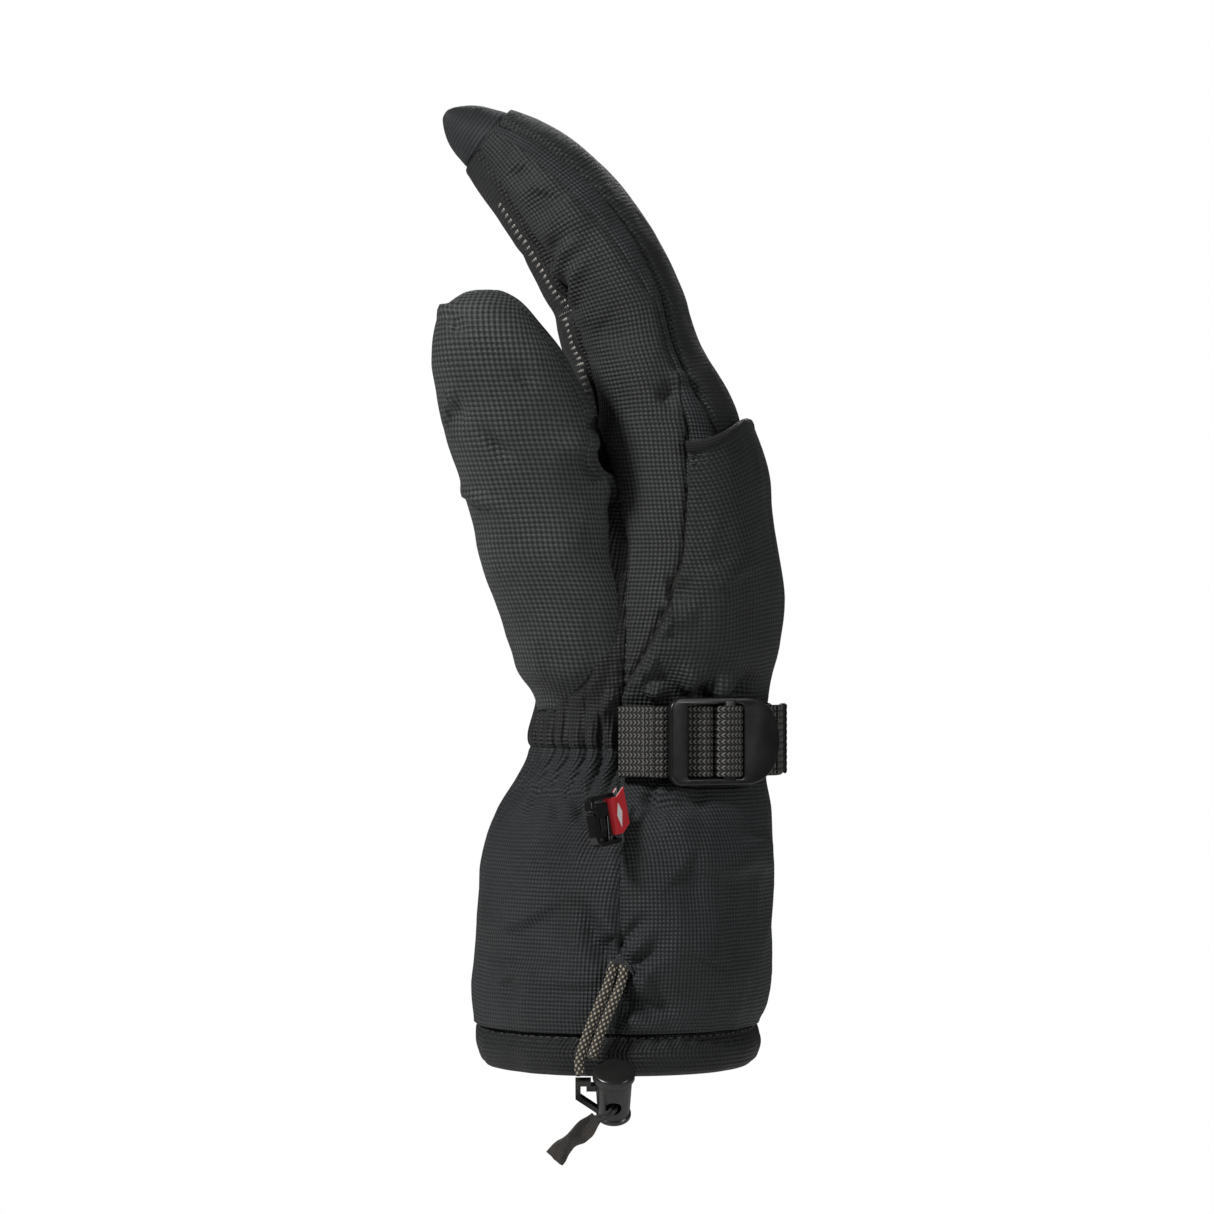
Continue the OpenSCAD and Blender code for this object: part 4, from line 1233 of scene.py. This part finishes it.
def stitches(name, line, normals, material, body_name="gauntlet", length=2.3, gap=1.1, radius=0.26):
    """A row of separate thread stitches along a line on the surface."""
    run = run_of(line, 0)
    starts = np.arange(gap / 2, run[-1] - length, length + gap)
    profile = [(-0.5, 0.2), (-0.38, 0.8), (-0.15, 1.0), (0.15, 1.0), (0.38, 0.8), (0.5, 0.2)]
    stacks = []
    for start in starts:
        low, high = point_at(run, line, start), point_at(run, line, start + length)
        up = unit(point_at(run, normals, start + length / 2))
        along = unit(high - low)
        side = unit(np.cross(up, along))
        stack = []
        for at, wide in profile:
            sink = radius * (1 - 3.2 * at * at) * 0.8
            centre = (low + high) / 2 + along * at * length + up * sink
            stack.append((centre, radius * wide, side, up))
        stacks.append(stack)
    piece = beads(name, stacks, 6, material, inverted=True)
    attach(piece, body_name)


def surface_line(s, turn, lift):
    """A line on the mitten's fabric and its normals."""
    flat = body(s, turn)
    normals = outward(body, s, turn)
    return flat + normals * (body_relief(flat, turn) + lift)[:, None], normals


HEM_STITCH_Z = 13.6
around = turn_of(np.linspace(0, 1, 700))
hem_s = np.full(700, body_s(HEM_STITCH_Z))
hem_line = body(hem_s, around)
hem_normals = outward(body, hem_s, around)
hem_height = hem_relief(hem_line, around, np.zeros(1))
hem_line = hem_line + hem_normals * hem_height[:, None]
stitches("hem_stitches", hem_line, hem_normals, M["thread"])

wrist_turn = turn_of(np.linspace(share_of(97), share_of(257), 500))
wrist_line, wrist_normals = surface_line(np.full(500, GATHER_S), wrist_turn, 0.35)
stitches("wrist_stitches", wrist_line, wrist_normals, M["thread"])


def pocket_binding():
    """A folded tape over the overlay's top edge, with two rows of stitches below it."""
    columns = 170
    low = share_of(back_seam(POCKET_EDGE_S))
    high = share_of(360 + far_back_seam(POCKET_EDGE_S))
    turn = turn_of(np.linspace(low, high, columns + 1))
    edge_s = pocket_top(turn)
    edge = body(edge_s, turn)
    profile = [
        (-3.4, 0.9), (-3.0, 1.5), (-1.6, 1.75), (-0.2, 1.6), (0.5, 0.9), (0.6, 0.0), (0.3, -0.9),
        (-0.6, -1.3), (-3.0, -1.3), (-3.4, -0.6),
    ]
    rise = 1 / np.linalg.norm(body(edge_s + 0.02, turn) - body(edge_s - 0.02, turn), axis=1) * 0.04
    lifted = overlay_lift(edge, turn) - 0.5
    rings = []
    for up, out in profile:
        s = edge_s + up * rise
        flat = body(s, turn)
        relief = body_relief(flat, turn) + lifted + out + 0.15 * noise(flat, 4, 61)
        rings.append(flat + outward(body, s, turn) * relief[:, None])
    grid = np.stack(rings)
    uv = np.stack([run_of(grid, 1), run_of(grid, 0)], -1)
    faces = grid_faces(len(profile), columns + 1, wrap_rows=True)
    piece = make_object("pocket_binding", grid.reshape(-1, 3), faces, M["binding"], uv.reshape(-1, 2))
    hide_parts("overlay_binding")
    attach(piece, "gauntlet")
    for row, drop in enumerate((4.6, 7.4)):
        s = edge_s - drop * rise
        flat = body(s, turn)
        height = body_relief(flat, turn) + overlay_lift(flat, turn) + 0.1
        normals = outward(body, s, turn)
        stitches(f"pocket_stitches_{row}", flat + normals * height[:, None], normals, M["thread"],
                 length=1.9, gap=0.9)


pocket_binding()


def grip_patch():
    """A printed patch on the palm side of the fingers, covered in raised dots."""
    rows, columns = 80, 60
    s = np.linspace(body_s(232), body_s(318), rows)
    turn = turn_of(np.linspace(share_of(142), share_of(218), columns))
    s, turn = np.meshgrid(s, turn, indexing="ij")
    flat = body(s, turn)
    normals = outward(body, s, turn)
    relief = body_relief(flat, turn) + 0.35
    points = flat + normals * relief[..., None]
    uv = np.stack([run_of(flat, 1), run_of(flat, 0)], -1)
    patch = cloth_sheet("grip_patch", points, grid_faces(rows, columns), normals, 0.5, uv, M["grip"])
    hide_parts("palm_grip_patch")
    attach(patch, "fingers")
    pitch, radius = 2.1, 0.62
    stacks = []
    for row in range(2, rows - 2, 2):
        length = run_of(points[row], 0)
        shift = pitch / 2 if (row // 2) % 2 else 0
        for at in np.arange(2 + shift, length[-1] - 1.5, pitch):
            centre = point_at(length, points[row], at)
            up = unit(point_at(length, normals[row], at))
            side = unit(np.cross(up, [0, 1, 0]))
            other = np.cross(up, side)
            levels = ((1.0, -0.2), (0.92, 0.2), (0.55, 0.4))
            stacks.append([(centre + up * high, radius * wide, side, other) for wide, high in levels])
    dots = beads("grip_dots", stacks, 8, M["dots"])
    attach(dots, "fingers")


grip_patch()

# ---------------------------------------------------------------- webbing

STRAP_Z = 116.0  # height of the strap's middle
WEBBING_T = 1.4
WEBBING_DIP = 0.16  # depth of the grooves between its rows
WEBBING_COLUMNS = 67  # points across one face
BUCKLE_AT = (17.3, -50.5, STRAP_Z)
BUCKLE_TURN = 30.0
# Paths seen from above: these three in the row frame, and the last one in the buckle's own frame
STRAP_PATH = [
    (43, -32), (47.5, -27), (51.5, -20), (54.2, -11), (55, 0), (54.2, 11), (51, 20.5),
    (45.5, 29), (37, 36.5), (27, 41.3), (16, 43.4), (6, 43.6), (1, 43.4),
]
TAIL_PATH = [(56.2, -26.4), (57.8, -21), (58.5, -14), (58.7, -8), (58.9, -2)]
ANCHOR_PATH = [(14.6, -49.8), (10, -47.9), (5, -45.8), (0.8, -44.4)]
WEAVE_PATH = [
    (30.4, 3.2), (21.6, 3.2), (20.2, 2.7), (19.7, 1.4), (19.7, -2.4), (20.4, -4), (22, -4.7),
    (26, -4.7), (27.6, -4.1), (28.3, -2.6), (28.5, -0.6), (29.4, 0.8), (31, 1.2), (45.4, 1.2),
]
BAR_U = 15.6


def buckle_place(u, y):
    """A point of the buckle's own frame, in the row frame."""
    a = math.radians(BUCKLE_TURN)
    return (
        BUCKLE_AT[0] + u * math.cos(a) - y * math.sin(a),
        BUCKLE_AT[1] + u * math.sin(a) + y * math.cos(a), BUCKLE_AT[2],
    )


def in_buckle(path):
    """A path of the buckle's own frame, in the row frame and seen from above."""
    return [buckle_place(u, y)[:2] for u, y in path]


def flat_route(path):
    """A smooth route seen from above."""
    return smooth_route([(x, y, 0) for x, y in path], 0.5)[:, :2]


def webbing(name, path, thickness=WEBBING_T):
    """Webbing bent along a path seen from above, with its woven rows and rounded edges."""
    route = flat_route(path)
    length = run_of(route, 0)
    tangent = unit(np.gradient(route, axis=0))
    side = np.stack([tangent[:, 1], -tangent[:, 0]], -1)
    t = np.linspace(-1, 1, WEBBING_COLUMNS)
    rounding = np.sqrt(np.clip(1 - np.clip((np.abs(t) - 0.94) / 0.06, 0, 1) ** 2, 0, 1)) * 0.85 + 0.15
    rows = np.abs(np.sin((t + 1) / 2 * WEBBING_ROWS * math.pi)) ** 0.7
    face = rounding * (thickness / 2 - WEBBING_DIP + WEBBING_DIP * rows)
    across = np.concatenate([t, t[::-1]]) * WEBBING / 2
    out = np.concatenate([face, -face[::-1]])
    rings = route[:, None, :] + side[:, None, :] * out[None, :, None]
    points = np.concatenate([rings, np.full(rings.shape[:2] + (1,), STRAP_Z) + across[None, :, None]], -1)
    count, around_count = points.shape[:2]
    uv = np.stack(np.broadcast_arrays(length[:, None], across[None, :] + WEBBING / 2), -1).reshape(-1, 2)
    ends = []
    for row in (0, count - 1):
        base = row * around_count
        last = base + around_count - 1
        for j in range(WEBBING_COLUMNS - 1):
            quad = (base + j, base + j + 1, last - 1 - j, last - j)
            ends.append(quad if row == 0 else quad[::-1])
    faces = np.vstack([ring_faces(count, around_count), np.array(ends)])
    return make_object(name, points.reshape(-1, 3), faces, M["webbing"], uv, weld=True)


def buckle_blend(piece):
    """Webbing of the buckle's loop; its place is baked into its points."""
    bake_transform(piece)


strap = webbing("wrist_strap_webbing", in_buckle([(30.4, 3.2)]) + STRAP_PATH)
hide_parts("wrist_strap")
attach(strap, "gauntlet")

anchor = webbing("strap_anchor_webbing", ANCHOR_PATH, 2 * WEBBING_T)
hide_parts("strap_anchor")
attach(anchor, "gauntlet")

LOOP_PATH = (
    [(-4.6, 1.9), (-2.4, 1.3), (-0.6, 1.0), (7.6, 0.9), (11, -0.6), (13.4, -1.8), (BAR_U, -1.95)]
    + [(BAR_U + 2.3 * math.sin(a), 0.4 - 2.3 * math.cos(a)) for a in np.radians([35, 70, 105, 140])]
    + [(BAR_U, 2.75), (11, 2.7), (7.6, 2.65), (-0.6, 2.6), (-3, 2.9)]
)
loop = webbing("buckle_loop_webbing", in_buckle(LOOP_PATH))
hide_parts("anchor_loop")
buckle_blend(loop)

weave = webbing("strap_weave_webbing", in_buckle(WEAVE_PATH))
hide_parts("strap_weave")
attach(weave, "buckle")

tail_fold = [(60.0, -0.7), (60.4, -2.0), (60.3, -5), (60.1, -9)]
tail = webbing("strap_tail_webbing", TAIL_PATH + tail_fold)
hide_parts("strap_tail")
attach(tail, "strap_tail")


def cross_stitches(name, path, share, outside, thickness):
    """A row of pale stitches across the webbing, at a share of its path and on one side of it."""
    route = flat_route(path)
    at = int(share * (len(route) - 1))
    along = np.gradient(route, axis=0)[at]
    out = np.array([along[1], -along[0], 0])
    out = out / np.linalg.norm(out) * outside
    middle = route[at] + out[:2] * thickness / 2
    line = np.array([[middle[0], middle[1], z] for z in np.linspace(STRAP_Z - 11.5, STRAP_Z + 11.5, 40)])
    normals = np.repeat(out[None, :], len(line), 0)
    stitches(name, line, normals, M["pale_thread"], "gauntlet", 1.8, 0.5, 0.3)


cross_stitches("anchor_stitches", ANCHOR_PATH, 0.35, -1, 2 * WEBBING_T)
cross_stitches("strap_end_stitches", STRAP_PATH[-3:], 0.8, 1, WEBBING_T)

# ---------------------------------------------------------------- moulded parts


def rounded(points, radius):
    """A closed outline with its corners rounded."""
    made = []
    for i, point in enumerate(points):
        corner_at = np.array(point, float)
        legs = [np.array(points[k], float) - corner_at for k in (i - 1, (i + 1) % len(points))]
        sizes = [np.linalg.norm(leg) for leg in legs]
        a, b = (corner_at + leg / size * min(radius, 0.49 * size) for leg, size in zip(legs, sizes))
        for t in np.linspace(0, 1, 6):
            made.append((1 - t) ** 2 * a + 2 * t * (1 - t) * corner_at + t * t * b)
    return made


def moulding(name, outlines, thickness, edge, place, material):
    """A flat moulded part with rounded edges: the first outline is its rim and the others are its holes."""
    data = bpy.data.curves.new(name, "CURVE")
    data.dimensions = "2D"
    data.fill_mode = "BOTH"
    data.extrude = (thickness / 2 - edge) * MM
    data.bevel_depth = edge * MM
    data.bevel_resolution = 3
    data.offset = -edge * MM
    for outline in outlines:
        line = data.splines.new("POLY")
        line.points.add(len(outline) - 1)
        for knot, point in zip(line.points, outline):
            knot.co = (point[0] * MM, point[1] * MM, 0, 1)
        line.use_cyclic_u = True
    source = linked(name + "_curve", data)
    bpy.context.view_layer.update()
    mesh = bpy.data.meshes.new_from_object(source.evaluated_get(bpy.context.evaluated_depsgraph_get()))
    bpy.data.objects.remove(source)
    mesh.transform(place)
    weld_points(mesh)
    mesh.materials.clear()
    mesh.materials.append(material)
    mesh.polygons.foreach_set("use_smooth", [True] * len(mesh.polygons))
    mesh.set_sharp_from_angle(angle=math.radians(50))
    mesh.name = name
    return linked(name, mesh)


def lathe(name, profile, place, material, sides=40):
    """A turned part: profile points are (radius, height)."""
    profile = np.array(profile, float)
    a = np.linspace(0, 2 * math.pi, sides, endpoint=False)
    points = np.stack([
        profile[:, 0, None] * np.cos(a), profile[:, 0, None] * np.sin(a),
        np.repeat(profile[:, 1, None], sides, 1),
    ], -1).reshape(-1, 3)
    piece = make_object(name, points, ring_faces(len(profile), sides), material, weld=True)
    piece.data.transform(place)
    piece.data.set_sharp_from_angle(angle=math.radians(50))
    return piece


def placed(origin, *turns):
    """A matrix that turns about its axes in order, then moves to origin, in metres."""
    matrix = Matrix.Translation([c * MM for c in origin])
    for angle, axis in turns:
        matrix = matrix @ Matrix.Rotation(math.radians(angle), 4, axis)
    return matrix


def axes(x, y, z):
    """A matrix whose columns are three axes."""
    return Matrix((x, y, z)).transposed().to_4x4()


BUCKLE = placed(BUCKLE_AT, (BUCKLE_TURN, "Z"))
FACE_ON = axes((1, 0, 0), (0, 0, 1), (0, -1, 0))
BUCKLE_W = 31.0
BUCKLE_T = 3.0
BUCKLE_LEN = 45.4
RAIL = 2.6
TAB_U = 29.6


def ladder_buckle():
    """Frame with a left plate and two rails, a grip bar, an anchor bar and a D-shaped lifting tab."""
    half = BUCKLE_W / 2
    reach = BUCKLE_LEN - TAB_U - 1
    arc = np.radians(np.linspace(-90, 90, 25))
    tab = [(TAB_U + 1 + reach * math.cos(a) ** 0.9, half * math.sin(a)) for a in arc]
    rim = corner(0, half, 4.5, True) + corner(0, -half, 4.5, False) + tab
    window = rounded([(7, -half + RAIL), (TAB_U, -half + RAIL), (TAB_U, half - RAIL), (7, half - RAIL)], 1.0)
    place = BUCKLE @ Matrix.Translation((0, -BUCKLE_T / 2 * MM, 0)) @ FACE_ON
    frame_piece = moulding("ladder_buckle_frame", [rim, window], BUCKLE_T, 0.8, place, M["plastic"])
    bend_rails(frame_piece)
    bar_place = BUCKLE @ axes((1, 0, 0), (0, 1, 0), (0, 0, 1))
    grip = rounded([(21.4, -3.3), (26.8, -3.3), (26.8, 1.4), (21.4, 1.4)], 1.2)
    grip_bar = moulding("buckle_grip_bar", [grip], BUCKLE_W - 2.4, 0.3, bar_place, M["plastic"])
    end = half - 1.2
    bar_profile = [(0, -end), (1.0, -end), (1.3, -end + 0.4), (1.3, end - 0.4), (1.0, end), (0, end)]
    at_bar = BUCKLE @ Matrix.Translation((BAR_U * MM, 0.4 * MM, 0))
    bar = lathe("buckle_anchor_bar", bar_profile, at_bar, M["plastic"], 20)
    lug = rounded([(BAR_U - 1.9, -1.2), (BAR_U + 1.9, -1.2), (BAR_U + 1.6, 2), (BAR_U - 1.6, 2)], 0.8)
    pieces = [grip_bar, bar]
    for name, sign in (("upper", 1), ("lower", -1)):
        at = BUCKLE @ Matrix.Translation((0, 0, sign * (half - RAIL / 2) * MM))
        pieces.append(moulding(f"buckle_{name}_lug", [lug], RAIL - 0.2, 0.3, at, M["plastic"]))
    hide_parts("ladder_buckle")
    for piece in [frame_piece] + pieces:
        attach(piece, "buckle")


def corner(x, y, radius, top):
    """A rounded outer corner of the buckle's left plate."""
    sweep = np.radians(np.linspace(90, 180, 9) if top else np.linspace(180, 270, 9))
    cy = y - radius if top else y + radius
    return [(x + radius + radius * math.cos(a), cy + radius * math.sin(a)) for a in sweep]


def bend_rails(piece):
    """The rails and the tab rise a little over their middles."""
    inverse = BUCKLE.inverted()
    for vertex in piece.data.vertices:
        local = inverse @ vertex.co
        u = local.x / MM
        local.y -= 0.5 * MM * math.sin(math.pi * min(max(u / 29, 0), 1)) ** 2
        local.y += 0.9 * MM * max(0.0, (u - TAB_U - 4) / 12) ** 2
        vertex.co = BUCKLE @ local


ladder_buckle()

CLIP_AT = (-1.8, -60.5, 90)
CLIP_LEAN = placed(CLIP_AT, (-10, "Y"))
CLIP = CLIP_LEAN @ Matrix.Rotation(math.radians(237), 4, "Z")
CLIP_REACH = 15.0
CLIP_H = 17.6


def glove_clip():
    """A snap clip: a bar, two arms that meet at a lap, and a spring tongue."""
    half, reach, back = CLIP_H / 2, CLIP_REACH, -1.6
    upper = rounded([
        (back, half), (reach - 4, half), (reach - 1.6, half - 1.2), (reach - 1, half - 3.4),
        (reach - 1, 3.6), (reach - 3.4, 2.8), (reach - 3.4, half - 3),
        (reach - 4.2, half - 1.7), (back, half - 1.7),
    ], 0.6)
    lower = rounded([
        (back, -half), (reach - 4, -half), (reach - 1.6, -half + 1.2), (reach - 1, -half + 3.4),
        (reach - 1, 2.8), (reach - 3.4, 2), (reach - 3.4, -half + 3),
        (reach - 4.2, -half + 1.7), (6.6, -half + 1.7), (5, 1.5), (3.6, 1.2), (5, -half + 1.7),
        (back, -half + 1.7),
    ], 0.5)
    place = CLIP @ FACE_ON
    pieces = [
        moulding("clip_upper_arm", [upper], 3.0, 0.45, place, M["clip"]),
        moulding("clip_lower_arm", [lower], 3.0, 0.4, place, M["clip"]),
    ]
    tongue = rounded([(2.3, -6), (10.6, -6), (10.6, 6), (2.3, 6)], 0.8)
    pieces.append(moulding("clip_tongue", [tongue], 1.6, 0.4, place, M["clip"]))
    latch = rounded([(6, -3.6), (9.4, -3.6), (9.4, 1), (6, 1)], 0.6)
    pieces.append(moulding("clip_latch", [latch], 2.6, 0.3, place, M["lock"]))
    end = half - 1
    profile = [(0, -end), (0.8, -end), (1.1, -end + 0.3), (1.1, end - 0.3), (0.8, end), (0, end)]
    pieces.append(lathe("clip_bar", profile, CLIP, M["clip"], 20))
    rivet = [(0, 1.5), (0.72, 1.5), (0.8, 1.7), (0.56, 1.95), (0, 2.05)]
    for number, (x, z) in enumerate(((2.4, half - 0.9), (10.5, half - 1.0), (10.5, -half + 1.0))):
        at = CLIP @ Matrix.Translation((x * MM, 0, z * MM)) @ Matrix.Rotation(math.pi / 2, 4, "X")
        pieces.append(lathe(f"clip_rivet_{number}", rivet, at, M["clip"], 16))
    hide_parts("glove_clip")
    for piece in pieces:
        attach(piece, "clip")


glove_clip()


def loop_label():
    """A ribbon folded round the clip's bar and sewn into the side seam."""
    turn = math.radians(52)
    radius = 1.45
    legs = [(6.8, -radius), (4, -radius), (1.5, -radius)]
    fold = [(radius * math.cos(a), radius * math.sin(a)) for a in np.radians([-90, -125, -180, -235, -270])]
    back_leg = [(1.5, radius), (4, radius), (6.8, radius)]
    line = smooth_route([(x, y, 0) for x, y in legs + fold + back_leg], 0.2)[:, :2]
    spin = np.array([[math.cos(turn), math.sin(turn)], [-math.sin(turn), math.cos(turn)]])
    line = line @ spin
    tangent = unit(np.gradient(line, axis=0))
    side = np.stack([tangent[:, 1], -tangent[:, 0]], -1)
    length = run_of(line, 0)
    half = 6.4
    columns = 29
    height = np.linspace(-half, half, columns)
    away = np.maximum(0, line @ np.array([math.cos(turn), math.sin(turn)]) - 2.2)
    for name, shift, thickness, cloth in (
        ("loop_label_ribbon", -0.16, 0.3, "label"), ("loop_label_reverse", 0.16, 0.25, "label_back"),
    ):
        plan = line + side * shift
        grid = np.stack([
            np.repeat(plan[:, 0, None], columns, 1), np.repeat(plan[:, 1, None], columns, 1),
            np.repeat(height[None, :], len(plan), 0) + 0.62 * away[:, None] + 0.6,
        ], -1)
        level = np.zeros((len(plan), columns, 1))
        normals = np.concatenate([np.repeat(side[:, None], columns, 1), level], -1)
        uv = np.stack(np.broadcast_arrays(length[:, None], height[None, :] + half), -1)
        faces = grid_faces(len(plan), columns)
        piece = cloth_sheet(name, grid, faces, normals, thickness, uv, M[cloth], weld=False)
        piece.data.transform(CLIP_LEAN)
        if name.endswith("ribbon"):
            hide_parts("loop_label")
        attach(piece, "gauntlet")


loop_label()


def channel_exit():
    """The folded lip of the seam where the drawcord leaves its channel."""
    outline = rounded([
        (-5, 35.6), (-3.6, 38.8), (-1, 41), (0.6, 43.4), (2.2, 41), (4.8, 38.6), (6, 35.2), (4.4, 37.2),
        (0.6, 39.9), (-3.4, 37.6),
    ], 1.2)
    place = Matrix.Translation((0, -62.3 * MM, 0)) @ FACE_ON
    piece = moulding("channel_exit_lip", [outline], 2.4, 0.55, place, M["elastic"])
    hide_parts("channel_exit")
    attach(piece, "gauntlet")


channel_exit()

# ---------------------------------------------------------------- cord lock and pull tab


def refine(node, material, width):
    """A CAD part keeps its shape and gets fine rounded edges and its finish."""
    piece = frame["nodes"][node]
    piece.data.materials.clear()
    piece.data.materials.append(material)
    weld = piece.modifiers.new("weld", "WELD")
    weld.merge_threshold = 2e-6
    edge = piece.modifiers.new("edge", "BEVEL")
    edge.width = width * MM
    edge.segments = 3
    edge.limit_method = "ANGLE"
    edge.angle_limit = math.radians(40)
    edge.harden_normals = True


refine("lock_body", M["lock"], 0.22)
refine("lock_button", M["lock"], 0.25)

LOCK = placed((-1.3, -72, 4), (32, "X"))
SPRING_BOTTOM = -8.85
SPRING_TOP = -6.7


def lock_spring():
    """The coil under the button's stem."""
    turns, radius, count = 3, 3.2, 145
    angle = np.linspace(0, 2 * math.pi * turns, count)
    height = np.linspace(SPRING_BOTTOM, SPRING_TOP, count)
    coil = np.stack([radius * np.cos(angle), radius * np.sin(angle), height], -1)
    piece = tube("lock_spring_coil", coil, 0.25, M["steel"], sides=10, lobes=0, raise_by=0)
    piece.data.transform(LOCK)
    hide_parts("lock_spring")
    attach(piece, "cord_lock")
    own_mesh(piece)


lock_spring()

TAB_LOOP = [
    (-8.6, -70.5, -12.6), (-5.9, -70.8, -11.8), (-3.7, -70.7, -11.1), (-2.4, -69.8, -10.1),
    (-2, -67.6, -8.9), (-1.4, -66, -8.4), (-0.6, -67.7, -9.2), (-1, -69.6, -10.6),
    (-4, -70.6, -12.8), (-7.6, -70.6, -14.2),
]
tab_loop = tube("tab_loop_cord", smooth_route(TAB_LOOP), 0.65, M["loop"], sides=14, lobes=4, pitch=0.9)
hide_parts("tab_loop")
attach(tab_loop, "pull_tab")


def pull_tab():
    """A short cloth tab that leans away from its loop, a little twisted and crumpled."""
    start = np.array([-7.2, -70.6, -12.4])
    lean = math.radians(45.5)
    along = np.array([-math.sin(lean), 0, -math.cos(lean)])
    length = 20.6
    rows, columns = 44, 16
    t = np.linspace(0, 1, rows)
    w = np.linspace(-1, 1, columns)
    twist = np.radians(8 + 34 * smooth(t, 0.2, 0.6) - 44 * smooth(t, 0.7, 1.0))
    wide = 3.7 * (0.62 + 0.38 * smooth(t, 0, 0.3)) * (1 - 0.08 * np.exp(-(((t - 0.62) / 0.12) ** 2)))
    flat_side = np.cross(along, [0, -1, 0])
    depth_side = np.array([0, -1.0, 0])
    side = np.cos(twist)[:, None] * flat_side + np.sin(twist)[:, None] * depth_side
    normal = np.cross(side, along)
    centre = start + along * (t * length)[:, None]
    cup = 0.9 * np.sin(2 * math.pi * t)[:, None] * (w**2)[None, :]
    ragged = 0.5 * noise(np.stack([w * 3, w * 0, w * 0], -1), 1.0, 71)
    grid = centre[:, None, :] + side[:, None, :] * (wide[:, None] * w[None, :])[..., None]
    grid = grid + normal[:, None, :] * cup[..., None]
    grid = grid + along * (ragged[None, :] * (t**6)[:, None])[..., None]
    crumple = 0.5 * noise(grid, 3.4, 72) + 0.16 * noise(grid, 1.5, 73)
    grid = grid + crumple[..., None] * normal[:, None, :]
    normals = np.repeat(normal[:, None, :], columns, 1)
    uv = np.stack([run_of(grid, 1), run_of(grid, 0)], -1)
    thick = 1.2
    outer = grid + normals * thick / 2
    faces = grid_faces(rows, columns)
    piece = cloth_sheet("pull_tab_cloth", outer, faces, normals, thick, uv, M["tab"], weld=False)
    soften = piece.modifiers.new("soften", "SUBSURF")
    soften.levels = soften.render_levels = 1
    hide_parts("pull_tab")
    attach(piece, "pull_tab")


pull_tab()

# ---------------------------------------------------------------- floor


def floor():
    """A plain pale floor below the mitten."""
    half, level = 1.15, -0.3
    corners = [(-half, -half, level), (half, -half, level), (half, half, level), (-half, half, level)]
    mesh = bpy.data.meshes.new("floor")
    mesh.from_pydata(corners, [], [(0, 1, 2, 3)])
    n = Shader("floor_paper")
    grain = n.noise(n.place(), 400, 3.0)
    mesh.materials.append(n.finish({
        "Base Color": n.blend(grain, (0.82, 0.82, 0.81, 1), (0.88, 0.88, 0.87, 1)), "Roughness": 0.8,
    }))
    ground = linked("floor", mesh)


floor()
